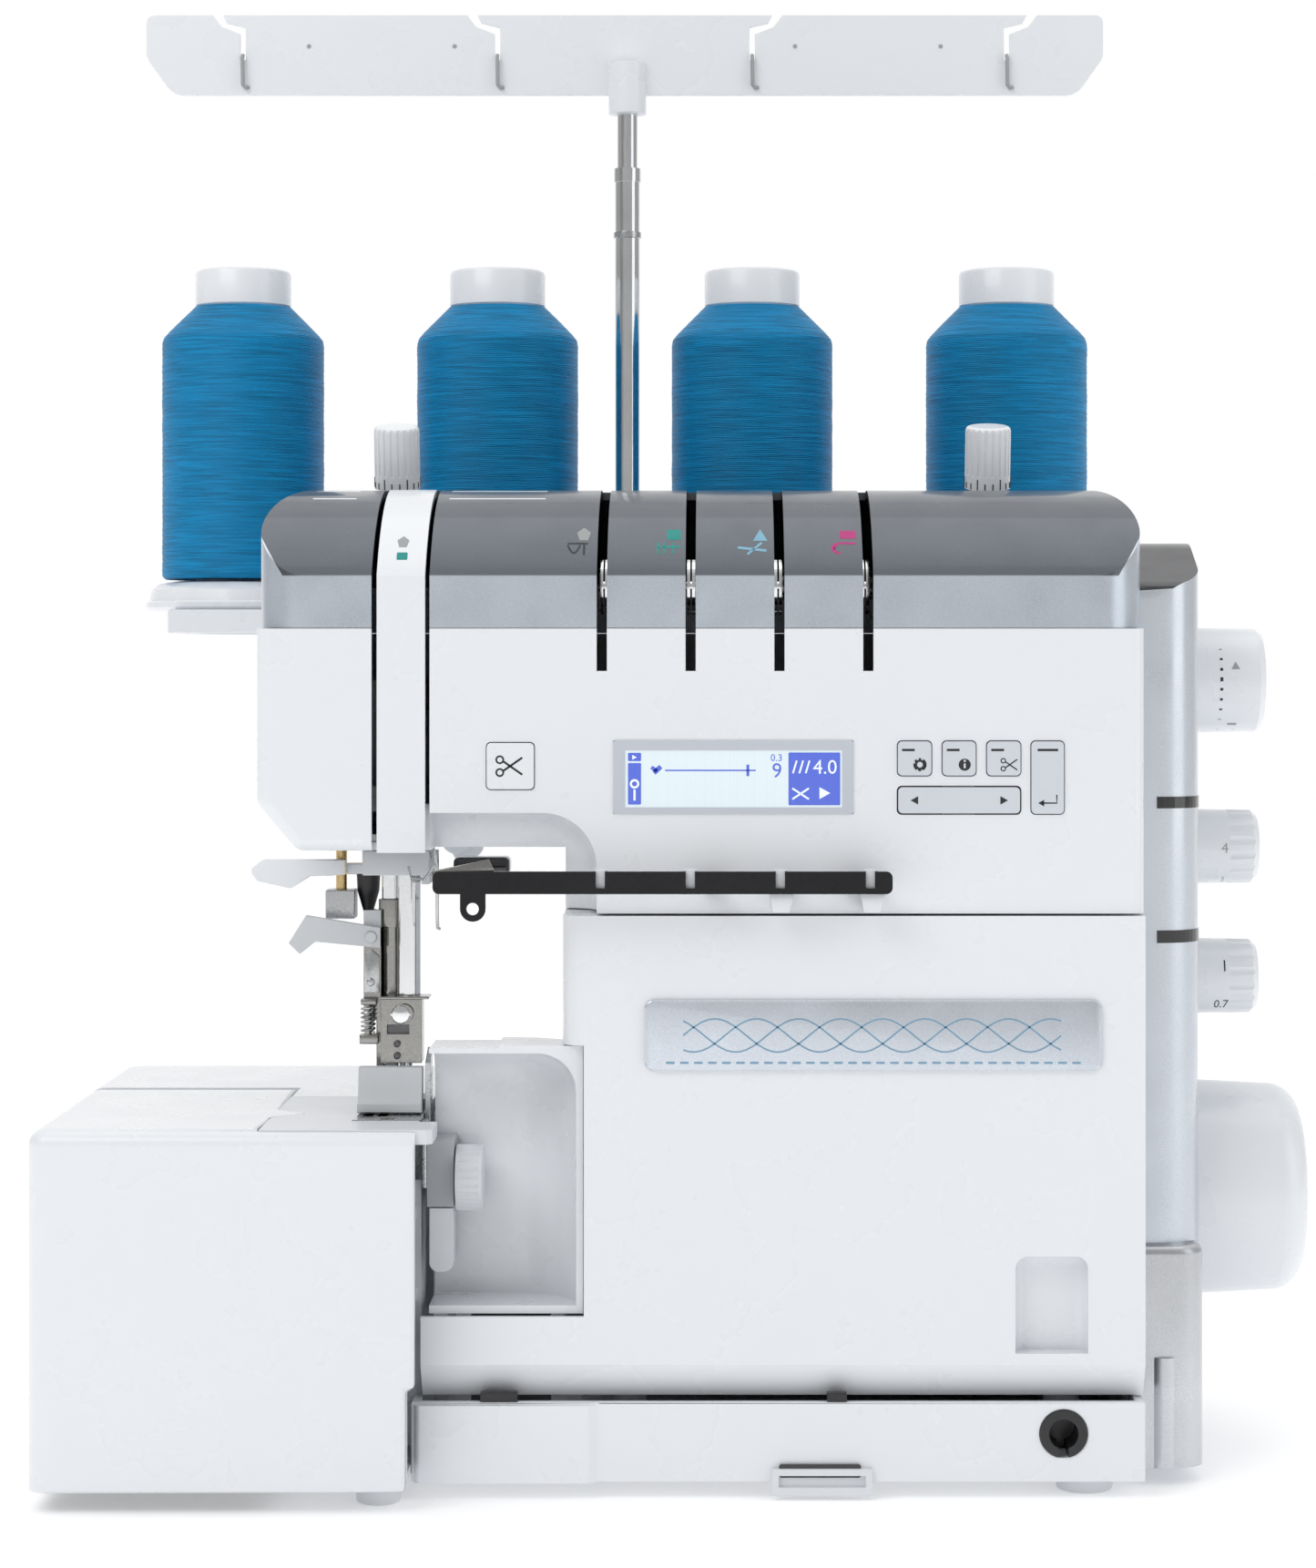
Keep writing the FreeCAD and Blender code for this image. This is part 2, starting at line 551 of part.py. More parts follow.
def side_sockets():
    """Mains inlet with two pins, and the foot control socket."""
    inlet = box(146, SIDE_OUTER + 0.4, 16, 40, 14, 32).cut(box(151, 170, 19.5, 36.5, 18.5, 27.5))
    for y in (23.6, 32.4):
        inlet = inlet.fuse(rod_x(150, 161, y, 23, 1.2))
    jack = box(146, SIDE_OUTER + 0.4, -5, 9, 15, 29).cut(rod_x(152, 170, 2, 22, 3.2))
    return group(inlet, jack)


def power_switch():
    """Rocker on a pivot pin behind the side cover's wall."""
    rocker = box(156, SIDE_OUTER + 1.5, 18.5, 37.5, 42.5, 53.5)
    return fuse(rocker, rod_y(16.5, 39.5, 159, 48, 1.5))


def bed_rear_cover():
    """Fixed rear part of the bed, open below, with hinge lugs for the cloth plate."""
    outer = prism([(BED_LEFT, -26), (COLUMN_LEFT - GAP, -26), (COLUMN_LEFT - GAP, BED_REAR),
                   (BED_LEFT, BED_REAR, 8)], "xy", BED_BOTTOM, BED_TOP)
    outer = soften(outer, 5, lambda c, e: abs(c.z - BED_TOP) < 0.01 and
                   (c.y > BED_REAR - 9 or c.x < BED_LEFT + 3))
    inner = prism([(BED_LEFT + WALL, -27), (COLUMN_LEFT, -27), (COLUMN_LEFT, BED_REAR - WALL),
                   (BED_LEFT + WALL, BED_REAR - WALL, 5.5)], "xy", 0, BED_TOP - WALL)
    shell = outer.cut(inner)
    shell = shell.cut(box(BASE_LEFT - GAP, 0, -60, BED_REAR + 5, 0, BASE_TOP + GAP))
    tongue = box(-132.2, COLUMN_LEFT - GAP, INSET_REAR, -26, BED_TOP - WALL, BED_TOP)
    shell = shell.fuse(tongue)
    hinge_x, hinge_y = PLATE_HINGE
    for low, high in LUG_LEVELS:
        arm = box(hinge_x - 3.4, hinge_x + 4, hinge_y, -24, low, high)
        lug = arm.fuse(rod_z(low, high, hinge_x, hinge_y, 4.2))
        if low > BED_TOP / 2:
            lug = lug.fuse(box(hinge_x - 3.4, hinge_x + 4, -25.5, -23, low, BED_TOP - 1))
        lug = lug.fuse(box(BED_LEFT + 1, hinge_x + 4, -25.5, -22.5, low, high))
        hole_bottom = low + 1 if low < BED_TOP / 2 else low - 1
        shell = shell.fuse(lug.cut(rod_z(hole_bottom, hole_bottom + 6.7, hinge_x, hinge_y, 2)))
    return shell.removeSplitter()


def free_arm():
    """Hollow arm inside the cloth plate box, with the fixed plate on its top."""
    arm = box(-131, BASE_LEFT, -137, -28.3, 8, 113).cut(box(-128, -80, -134, -31.3, 11, 110))
    edge = [(-84.7, -118), (-79, -118), (-79, -136, 2), (-81, -138.2), (INSET_LEFT, -138.2),
            (INSET_LEFT, -106, 6), (-121, -97, 3), (INSET_LEFT, -88, 6), (INSET_LEFT, INSET_REAR - 0.3),
            (-84.7, INSET_REAR - 0.3)]
    plate = prism(edge, "xy", 113, BED_TOP)
    plate = plate.cut(box(-106, -84, -116, -53.5, 112, BED_TOP + 1))
    ledge = box(-107, -88, -117, -52.5, 109.9, 113).cut(box(-105, -88, -114, -56, 109, 114))
    return fuse(arm, plate, ledge).cut(box(-105, -84, -114, -56, 100, BED_TOP + 1))


def needle_plate():
    """Steel plate with feed slots and a needle slot."""
    plate = box(-106, -84.7, -116, -53.5, 113, BED_TOP + 0.3)
    for x0, x1, y0, y1 in FEED_BARS:
        plate = plate.cut(box(x0 - 0.4, x1 + 0.4, y0 - 1, y1 + 1, 112, 120))
    return plate.cut(box(-94.8, -88.9, -87.6, -83.6, 112, 120))


def feed_dogs():
    """Three toothed bars on one carrier."""
    bars = []
    for x0, x1, y0, y1 in FEED_BARS:
        points = [(y0, 104), (y0, 115.4)]
        teeth = int((y1 - y0) / 2)
        for i in range(teeth):
            points.append((y0 + 2 * i + 0.4, 117.0))
            points.append((y0 + 2 * i + 1.9, 116.2))
        points.extend([(y1, 115.4), (y1, 104)])
        bars.append(prism(points, "yz", x0, x1))
    carrier = box(-103, -86.4, -96, -76, 101, 104.5)
    return fuse(*bars, carrier)


def scoop_guard():
    """Concave guard between the bed and the looper cover."""
    def plan(grow):
        points = [(-81.6, -92.5 + grow), (-35.5 + grow, -92.5 + grow, 22.5 + grow),
                  (-35.5 + grow, -122), (-81.6, -122)]
        return points
    block = prism(plan(2.2), "xy", COVER_STEP_TOP + 0.5, GUARD_TOP)
    block = block.cut(box(-90, -20, -130, -117.5, 50, 150))
    scoop = prism(plan(0), "xy", COVER_STEP_TOP + 3, GUARD_TOP - 2.4)
    scoop = scoop.fuse(box(-90, -81.5, -122, -92.5, COVER_STEP_TOP + 3, GUARD_TOP - 2.4))
    scoop = soften(scoop.removeSplitter(), 12, lambda c, e: abs(c.z - GUARD_TOP + 2.4) < 0.01
                   and c.y > -121 and c.x > -85)
    shell = block.cut(scoop)
    return shell.cut(box(-90, -60, -130, -80, GUARD_TOP - 0.9, GUARD_TOP + 1))


def lower_knife():
    """Knife block beside the guard, its white release tab and the fixed lower blade."""
    block = box(-82.8, -74.2, -112, -93, 90, 111)
    block = block.cut(rod_x(-83, -74, *WIDTH_DIAL, 2.6))
    tab = prism([(-82, 69.5, 3), (-74.5, 69.5, 3), (-74.5, 89.7), (-82, 89.7)], "xz", -112, -100)
    blade = box(-84.4, -82.8, -112, -104, 96, 117)
    return group(block, tab, blade)


def width_dial():
    """Ribbed cutting width dial on a short spindle."""
    wheel = rod_x(-73.7, -65.4, *WIDTH_DIAL, WIDTH_DIAL_RADIUS)
    reach = WIDTH_DIAL_RADIUS + 0.5
    for i in range(24):
        angle = math.radians(15 * (i + 0.5))
        wheel = wheel.cut(rod_x(-72.5, -66.6, WIDTH_DIAL[0] + reach * math.cos(angle),
                                WIDTH_DIAL[1] + reach * math.sin(angle), 0.8))
    return fuse(wheel, rod_x(-82, -73.7, *WIDTH_DIAL, 2.55))


def upper_knife():
    arm = box(-84.4, -82.8, -98, -87, 104, 116)
    blade = prism([(-98, 116), (-98, 134), (-87, 138), (-87, 116)], "yz", -84.4, -82.8)
    return fuse(arm, blade)


def looper(pivot, y0, y1, route):
    """Thin hooked arm on a bored boss."""
    boss = rod_y(y0, y1, *pivot, 5.5)
    arm = prism(route, "xz", y0 + 0.6, y1 - 0.6)
    return fuse(boss, arm).cut(rod_y(y0 - 1, y1 + 1, *pivot, LOOPER_PIN_RADIUS + FIT))


def lower_looper():
    return looper(LOWER_LOOPER, -89.5, -85.5,
                  [(-63, 69), (-57, 74), (-66, 98), (-80.6, 109), (-81.6, 107.6), (-70, 95)])


def upper_looper():
    return looper(UPPER_LOOPER, -79.5, -75.5,
                  [(-60, 88), (-53, 93), (-62, 106), (-79, 112.5), (-80, 111), (-66, 101)])


# ---- needle and presser -------------------------------------------------------------------
def needle_bar():
    """Needle bar with its clamp block, set screws and two needles."""
    x, y = NEEDLE_BAR
    rod = rod_z(136, 262, x, y, NEEDLE_BAR_RADIUS)
    block = box(-99.1, -85.9, -92, -82.4, 133.2, 153.7)
    flange = box(-99.4, -83.6, -92.6, -82.4, 153.7, 154.6)
    clamp = fuse(rod, block, flange)
    clamp = clamp.cut(box(-97, -90, -93, -90.8, 142.6, 145.4))
    clamp = fuse(clamp, rod_y(-93.2, -91, -91.5, 149.2, 3))
    screws = [rod_y(-92.6, -91.5, -93.8, z, 0.9) for z in (139.4, 135.6)]
    needles = [turned([(0.01, 133.2), (0.8, 133.2), (0.8, 124), (0.5, 121), (0.5, 116.5),
                       (0.01, 113.5)], nx, -85.6) for nx in (-93.2, -90.3)]
    return group(clamp.cut(fuse(*screws)), *screws, *needles)


def presser_bar():
    """Presser bar, foot holder, spring bracket, thread hook arm and its screw."""
    x, y = PRESSER_BAR
    rod = rod_z(134, 258, x, y, PRESSER_BAR_RADIUS)
    holder = box(-101.5, -92, -81.6, -73.8, 128.5, 146)
    holder = holder.cut(box(-99, -94.5, -82, -73, 128, 132.6))
    bracket = box(-105.6, -99.9, -81.6, -76, 146, 181.6)
    clamp = rod_z(176, 185, x, y, 4.5)
    arm = prism([(-129.6, 171), (-124, 180), (-99.9, 176), (-99.9, 169.5), (-121, 171.5),
                 (-126, 167.5)], "xz", -84, -81.6)
    body = fuse(rod, holder, bracket, clamp, arm)
    screw = rod_y(-85, -81.6, -103, 173, 1.8)
    body = body.cut(rod_x(-102, -91, *FOOT_PIVOT, 1 + FIT))
    return group(body.cut(screw), screw)


def presser_foot():
    """Sole with a needle slot, raised curved toe and two pivot cheeks."""
    sole = box(-105.6, -85.3, -103, -73, 118.4, 121.4)
    sole = soften(sole, 1.2, lambda c, e: c.z < 118.5 and edge_along(e, X_AXIS) and c.y < -100)
    heel = prism([(-80, 118), (-72, 118), (-72, 120.4)], "yz", -107, -84)
    sole = sole.cut(heel)
    toe = prism([(-103, 119), (-99.5, 126), (-98.5, 132.6), (-93.6, 132.6), (-93.6, 121),
                 (-93.6, 119)], "yz", -105.6, -85.3)
    curve = rod_x(-107, -84, -106.5, 133.5, 8)
    sole = fuse(sole, toe).cut(curve)
    sole = sole.cut(box(-95, -88.5, -93, -82, 117, 122))
    cheek = box(-98.6, -94.9, -80.4, -75.4, 121, 132.2)
    return fuse(sole, cheek, rod_x(-101.5, -92, *FOOT_PIVOT, 1))


def presser_lifter():
    """Lifting lever behind the head, on its own pivot pin."""
    plate = prism([(-110, 231, 4), (-99, 231, 5), (-78, 196, 4), (-88, 191, 5)], "xz", 59, 62)
    knob = prism([(-90, 202, 3), (-80, 205, 3), (-75, 193, 4), (-86, 188, 4)], "xz", 62, 68)
    return fuse(plate, knob, rod_y(44, 60, -105, 226, 3.2))


def threader_lever():
    """Needle threader: finger lever, guide rod, cube and hook head."""
    lever = prism([(-143.6, 194, 2), (-139, 197.5, 2), (-112, 197.5), (-112, 192.5), (-124, 192),
                   (-130, 188, 2), (-141, 190.5, 2)], "xz", -74, -70.5)
    rod = rod_z(184, 214, -114.2, -67, 1.8)
    cube = box(-119, -109.4, -72, -62, 178, 187.5)
    bar = box(-116.5, -103.5, -70.5, -63, 192.5, 196)
    head = turned([(0.01, 178.7), (1.2, 178.7), (3.6, 187), (3.9, 192.5), (0.01, 192.5)], -105.4, -67)
    return group(fuse(lever, rod, cube, bar), head)


# ---- covers that open ---------------------------------------------------------------------
def cover_rod():
    return rod_x(-70, 137, *COVER_AXIS, ROD_RADIUS)


def looper_cover():
    """L-shaped front cover with shallow returns, a finger recess and three hinge ears."""
    left, right = BASE_LEFT + 3, COLUMN_RIGHT
    skin = 2.2
    rear = -104.5
    step = 141.8
    front = BODY_FRONT
    face = fuse(prism([(COLUMN_LEFT, front, 7), (right, front), (right, rear), (COLUMN_LEFT, rear)],
                      "xy", step, COVER_TOP),
                box(COVER_STEP_X, right, front, rear, COVER_BOTTOM, step),
                box(left, COVER_STEP_X, front, rear, COVER_BOTTOM, COVER_STEP_TOP))
    inner_left, inner_right, inner_front = COLUMN_LEFT + skin, right - skin, front + skin
    hollow = fuse(prism([(inner_left, inner_front, 5), (inner_right, inner_front),
                         (inner_right, -90), (inner_left, -90)], "xy", step + skin, COVER_TOP - skin),
                  box(COVER_STEP_X, inner_right, inner_front, -90, 20, step + skin),
                  box(left - 5, COVER_STEP_X, inner_front, -90, 20, COVER_STEP_TOP + 9))
    shell = face.cut(hollow)
    chamfer = prism([(BODY_FRONT - 1, COVER_BOTTOM - 1), (BODY_FRONT - 1, 43.5),
                     (-112.5, COVER_BOTTOM - 1)], "yz", left - 1, right + 1)
    slant = prism([(BODY_FRONT, 42.1), (-113.2, 31.2), (-111, 31.2), (-118.8, 44)], "yz", left, right)
    shell = shell.cut(chamfer).fuse(slant)
    shell = shell.cut(box(left - 1, right + 1, -111, -100, 20, 44))
    pocket = prism([(101.9, 41.8, 4), (124.7, 41.8, 4), (124.7, 75.9, 4), (101.9, 75.9, 4)], "xz",
                   BODY_FRONT - 1, -113)
    cup = prism([(99.7, 43, 5), (126.9, 43, 5), (126.9, 78.1, 5), (99.7, 78.1, 5)], "xz",
                BODY_FRONT + 1, -110.8)
    pocket = soften(pocket, 4, lambda c, e: abs(c.y + 113) < 0.01)
    pocket = pocket.cut(box(100, 126, -125, -100, 40, 45.5))
    shell = shell.fuse(cup).cut(pocket)
    axis_y, axis_z = COVER_AXIS
    for x in (-24.0, 56.0, 88.0):
        ear = box(x, x + 6, BODY_FRONT + 1, axis_y, axis_z, axis_z + 3.5)
        ear = ear.fuse(rod_x(x, x + 6, axis_y, axis_z, 3.5))
        shell = shell.fuse(ear)
    shell = shell.cut(rod_x(-75, 139, axis_y, axis_z, ROD_RADIUS + FIT))
    shell = max(shell.Solids, key=lambda s: s.Volume)
    return shell.removeSplitter()


def plate_outline(inset):
    """Cloth plate box in plan, shrunk by inset; its rear left corner is the hinge round."""
    left, front = BED_LEFT + inset, PLATE_FRONT + inset
    right = BED_RIGHT - inset
    corner = 7 - inset * 0.8
    rear = PLATE_REAR - inset
    return [(left, front, corner), (right, front), (right, rear), (left, rear,
                                                                  PLATE_HINGE_RADIUS - inset)]


def cloth_plate():
    """Left-hand box that swings on a vertical hinge: top, front and left walls."""
    outer = prism(plate_outline(0), "xy", BED_BOTTOM, BED_TOP)
    outer = soften(outer, 5, lambda c, e: abs(c.z - BED_TOP) < 0.01 and
                   (c.y < PLATE_FRONT + 3 or c.x < BED_LEFT + 3 and c.y < -60))
    inner = prism([(BED_LEFT + WALL, PLATE_FRONT + WALL, 4.5), (-50, PLATE_FRONT + WALL), (-50, -20),
                   (BED_LEFT + WALL, -20)], "xy", 0, BED_TOP - WALL)
    shell = outer.cut(inner)
    edge = [(-50, -138.5), (-133.0, -138.5), (-133.0, -106.3, 6), (-121.4, -97, 3),
            (-133.0, -87.7, 6), (-133.0, -20), (-50, -20)]
    shell = shell.cut(prism(edge, "xy", 100, 130))
    shell = shell.cut(box(-87.0, -80, -150, -130, 0, 38))
    hinge_x, hinge_y = PLATE_HINGE
    knuckle = rod_z(19.0, 99.0, hinge_x, hinge_y, 4.6)
    knuckle = knuckle.fuse(box(BED_LEFT + 1, hinge_x, hinge_y - 4.6, hinge_y, 19, 99))
    shell = shell.fuse(knuckle).cut(rod_z(0, 108, hinge_x, hinge_y, 2 + FIT))
    for low, high in LUG_LEVELS:
        shell = shell.cut(rod_z(low - GAP, high + GAP, hinge_x, hinge_y, 8))
    return max(shell.Solids, key=lambda s: s.Volume).removeSplitter()


# ---- controls -----------------------------------------------------------------------------
def key(name):
    """Push key with a retaining flange behind the head cover's wall."""
    x0, x1, z0, z1 = button_openings()[name]
    play = 0.45 if name == "arrow_key" else 0.3
    front = HEAD_FRONT - 0.9
    face = prism([(x0 + play, z0 + play, 1.4), (x1 - play, z0 + play, 1.4),
                  (x1 - play, z1 - play, 1.4), (x0 + play, z1 - play, 1.4)], "xz", front, -116.2)
    face = soften(face, 0.4, lambda c, e: abs(c.y - front) < 0.01)
    flange = box(x0 - 0.8, x1 + 0.8, -116.4, -115.4, z0 + 1, z1 - 1)
    if name == "arrow_key":
        flange = box((x0 + x1) / 2 - 5, (x0 + x1) / 2 + 5, -116.4, -115.0, z0 - 0.8, z1 + 0.8)
        flange = flange.fuse(rod_z(z0 - 0.8, z1 + 0.8, (x0 + x1) / 2, -114.8, 0.8))
    return fuse(face, flange)


def display_panel():
    """Display window and its bezel."""
    bezel = box(-23.8, 51.3, HEAD_FRONT - 0.5, HEAD_FRONT + 1.2, 214.2, 237.2)
    bezel = soften(bezel, 0.8, lambda c, e: edge_along(e, Y_AXIS))
    bezel = bezel.cut(box(-20.1, 47.8, HEAD_FRONT - 1, HEAD_FRONT + 1.2, 216.2, 234.1))
    window = box(-20.1, 47.8, HEAD_FRONT - 0.2, HEAD_FRONT + 1.2, 216.2, 234.1)
    return group(bezel, window)


def side_dial(name):
    """Fluted dial on a stem through the side cover."""
    z, radius, end = dial_specs()[name]
    start = SIDE_OUTER + 0.5
    knob = turned_x([(start, 0.01), (start, radius), (end - 2, radius - 0.4), (end, radius - 2.2),
                     (end, 0.01)], SHAFT_Y, z)
    if name != "pattern_dial":
        for i in range(16):
            angle = math.radians(22.5 * (i + 0.5))
            knob = knob.cut(rod_x(end - 10, end + 1, SHAFT_Y + (radius + 1.1) * math.cos(angle),
                                  z + (radius + 1.1) * math.sin(angle), 2.1))
    return fuse(knob, rod_x(SIDE_OUTER - 7, start + 0.5, SHAFT_Y, z, 3))


def top_dial(name):
    """Ribbed dial that leans forward on the top cover."""
    foot = Vec(TOP_DIALS[name], *TOP_DIAL_FOOT)
    axis = dial_axis()
    knob = Part.makeCylinder(TOP_DIAL_RADIUS, 21, foot + axis * 3.0, axis)
    knob = soften(knob, 1.6, lambda c, e: c.z > 335)
    side = axis.cross(X_AXIS)
    for i in range(20):
        angle = math.radians(18 * (i + 0.5))
        out = X_AXIS * math.cos(angle) + side * math.sin(angle)
        start = foot + axis * 7.5 + out * (TOP_DIAL_RADIUS + 0.15)
        knob = knob.cut(Part.makeCylinder(0.6, 16, start, axis))
    return fuse(knob, Part.makeCylinder(3, 15, foot - axis * 11, axis))


# ---- thread path and stand ----------------------------------------------------------------
def tension_units():
    """Disc pair, post, spring and bracket behind every thread slot."""
    parts = []
    for x in slot_centres():
        bracket = box(x - 9, x - 7.5, -91, -82, 256, 292)
        post = rod_x(x - 7.5, x + 9, -87, 286, 1.8)
        bracket = fuse(bracket, post, box(x - 9, x - 2, -88, -82, 256, 258))
        parts.append(bracket)
        for side in (-1, 1):
            disc = tube_x(-0.5, 0.5, -87, 286, 9, 1.8)
            disc.translate(Vec(x + side * 0.8, 0, 0))
            parts.append(disc)
        parts.append(tube_x(x + 1.4, x + 7, -87, 286, 4, 1.8))
    return group(*parts)


def thread_guide_rail():
    """Polished guide rail in front of the head, notched at every thread."""
    rail = box(-79.2, 62.9, -134.8, -133.3, 190, 197)
    rail = soften(rail, 2, lambda c, e: edge_along(e, Y_AXIS))
    tab = prism([(-70.7, 181.5, 3.9), (-62.8, 181.5, 3.9), (-62.8, 191), (-70.7, 191)], "xz",
                -134.8, -133.3)
    rail = rail.fuse(tab).cut(rod_y(-136, -132, -66.8, 185.4, 1.9))
    for x in slot_centres():
        rail = rail.cut(box(x - 1.4, x + 1.4, -136, -132, 191.8, 198))
    arms = [box(x, x + 6, -133.3, HEAD_FRONT, 190.3, 191.6) for x in (4.0, 48.0)]
    return fuse(rail, *arms)


def spool_tray():
    """Tray behind the head that carries the four spool seats."""
    outer = prism([(-190, BODY_REAR), (138, BODY_REAR), (138, HALF_DEPTH, 34),
                   (-190, HALF_DEPTH, 34)], "xy", 272.5, SEAT_BOTTOM)
    inner = prism([(-187, BODY_REAR + 3), (135, BODY_REAR + 3), (135, HALF_DEPTH - 3, 31),
                   (-187, HALF_DEPTH - 3, 31)], "xy", 270, SEAT_BOTTOM - 3)
    return outer.cut(inner).cut(rod_z(270, 290, STAND_X, SPOOL_Y, STAND_RADIUS + FIT))


def spool_pins():
    """Spool seats, each a thick stepped disc with a rim and an upright pin."""
    seats = []
    for x in spool_centres():
        seats.append(turned([(0.01, SEAT_BOTTOM), (SEAT_RADIUS - 1.5, SEAT_BOTTOM),
                             (SEAT_RADIUS, SEAT_BOTTOM + 1.2), (SEAT_RADIUS, SEAT_BOTTOM + 2.8),
                             (SEAT_RADIUS - 1.4, SEAT_BOTTOM + 3.6), (33.8, 288.6), (31, 291),
                             (24, SPOOL_BOTTOM - GAP), (5.4, SPOOL_BOTTOM - GAP), (5.4, 330),
                             (2.6, 334), (2.6, 396), (0.01, 398)], x, SPOOL_Y))
    return group(*seats)


def spool(index):
    """Spool core with wound thread, free to turn on its pin."""
    x = spool_centres()[index]
    core = turned([(5.8, SPOOL_BOTTOM), (CORE_RADIUS, SPOOL_BOTTOM), (CORE_RADIUS, SPOOL_TOP - 1.5),
                   (CORE_RADIUS - 1.5, SPOOL_TOP), (5.8, SPOOL_TOP)], x, SPOOL_Y)
    slope = THREAD_RADIUS - CORE_RADIUS
    thread = turned([(CORE_RADIUS, SPOOL_BOTTOM + 0.4), (THREAD_RADIUS - 1.5, SPOOL_BOTTOM + 0.4),
                     (THREAD_RADIUS, SPOOL_BOTTOM + 3), (THREAD_RADIUS, THREAD_TOP - slope),
                     (CORE_RADIUS, THREAD_TOP)], x, SPOOL_Y)
    return group(core, thread)


def stand_lower_tube():
    tube = tube_z(190, 300, STAND_X, SPOOL_Y, STAND_RADIUS, 4.6 + FIT)
    bracket = box(STAND_X - 7, STAND_X + 7, BODY_REAR, SPOOL_Y, 196, 208)
    bracket = bracket.cut(rod_z(190, 210, STAND_X, SPOOL_Y, 5.5))
    return fuse(tube, bracket)


def stand_middle_tube():
    tube = tube_z(240, 446, STAND_X, SPOOL_Y, 4.6, 3.75 + FIT)
    return tube.fuse(tube_z(441, 446, STAND_X, SPOOL_Y, 5, 3.75 + FIT)).removeSplitter()


def stand_top_tube():
    return rod_z(400, 479, STAND_X, SPOOL_Y, 3.75)


def thread_guide_bar():
    """Flat bar with a hooked slit above every spool and a central socket."""
    left, right = -HALF_WIDTH, 152.7
    low, top = GUIDE_BAR_BOTTOM, STAND_TOP
    bar = prism([(left, top, 3), (left, low + 14, 6), (left + 10, low, 8), (right - 10, low, 8),
                 (right, low + 14, 6), (right, top, 3)], "xz", SPOOL_Y - 1.25, SPOOL_Y + 1.25)
    for index, x in enumerate(spool_centres()):
        side = -1 if index < 2 else 1
        drop = box(x - 1, x + 1, SPOOL_Y - 3, SPOOL_Y + 3, low + 13, low + 25)
        reach = prism([(x - side * 1, low + 25.2), (x - side * 1, low + 22), (x + side * 8, low + 25.5),
                       (x + side * 12, top + 1), (x + side * 8, top + 1),
                       (x + side * 6, low + 26.8)], "xz", SPOOL_Y - 3, SPOOL_Y + 3)
        bar = bar.cut(drop).cut(reach)
    hub = rod_z(low - 7, low + 12, STAND_X, SPOOL_Y, 7)
    bar = fuse(bar, hub)
    return bar.cut(rod_z(low - 8, low + 6, STAND_X, SPOOL_Y, 3.75 + FIT))


# ---- write every sub-part -----------------------------------------------------------------
def all_parts():
    """Node name to the shape of that node."""
    plain = [base_tray, feet, base_fittings, main_frame, shaft_bearings, main_shaft, handwheel,
             motor, motor_pulley, drive_belt, circuit_board, head_front_cover, top_cover,
             take_up_cover, rear_cover, side_cover, side_sockets, power_switch, bed_rear_cover,
             free_arm, needle_plate, feed_dogs, scoop_guard, lower_knife, width_dial, upper_knife,
             lower_looper, upper_looper, needle_bar, presser_bar, presser_foot, presser_lifter,
             threader_lever, cover_rod, looper_cover, cloth_plate, display_panel, tension_units,
             thread_guide_rail, spool_tray, spool_pins, stand_lower_tube, stand_middle_tube,
             stand_top_tube, thread_guide_bar]
    shapes = {make.__name__: make() for make in plain}
    shapes.update({name: key(name) for name in button_openings()})
    shapes.update({name: side_dial(name) for name in dial_specs()})
    shapes.update({name: top_dial(name) for name in TOP_DIALS})
    shapes.update({"spool_%d" % (i + 1): spool(i) for i in range(SPOOL_COUNT)})
    return shapes


os.makedirs("parts", exist_ok=True)
for node, shape in all_parts().items():
    if not shape.isValid():
        raise ValueError("invalid solid in " + node)
    shape.exportStep("parts/" + node + ".step")
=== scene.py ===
import json
import math
import random

import bmesh
import bpy
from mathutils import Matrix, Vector, noise
from mathutils.bvhtree import BVHTree

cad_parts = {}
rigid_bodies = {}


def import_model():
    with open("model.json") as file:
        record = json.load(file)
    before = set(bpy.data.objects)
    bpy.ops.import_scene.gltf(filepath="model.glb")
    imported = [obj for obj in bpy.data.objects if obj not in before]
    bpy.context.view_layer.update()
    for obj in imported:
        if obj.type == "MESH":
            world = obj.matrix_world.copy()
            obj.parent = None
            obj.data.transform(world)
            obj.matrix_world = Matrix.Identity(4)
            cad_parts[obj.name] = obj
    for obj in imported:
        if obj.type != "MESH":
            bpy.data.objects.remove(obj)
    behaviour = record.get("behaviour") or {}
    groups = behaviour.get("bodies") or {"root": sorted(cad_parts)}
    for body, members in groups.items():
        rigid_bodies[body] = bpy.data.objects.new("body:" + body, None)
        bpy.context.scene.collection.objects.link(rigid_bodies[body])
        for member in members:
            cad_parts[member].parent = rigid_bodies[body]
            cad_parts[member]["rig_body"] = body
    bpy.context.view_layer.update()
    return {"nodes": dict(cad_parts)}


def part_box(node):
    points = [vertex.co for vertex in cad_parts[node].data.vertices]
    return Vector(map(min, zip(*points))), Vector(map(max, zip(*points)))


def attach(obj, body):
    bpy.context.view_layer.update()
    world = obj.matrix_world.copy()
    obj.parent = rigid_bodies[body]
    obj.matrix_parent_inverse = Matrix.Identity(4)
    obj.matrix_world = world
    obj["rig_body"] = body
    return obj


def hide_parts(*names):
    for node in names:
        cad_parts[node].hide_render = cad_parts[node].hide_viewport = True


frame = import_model()
MM = 0.001
random.seed(7)


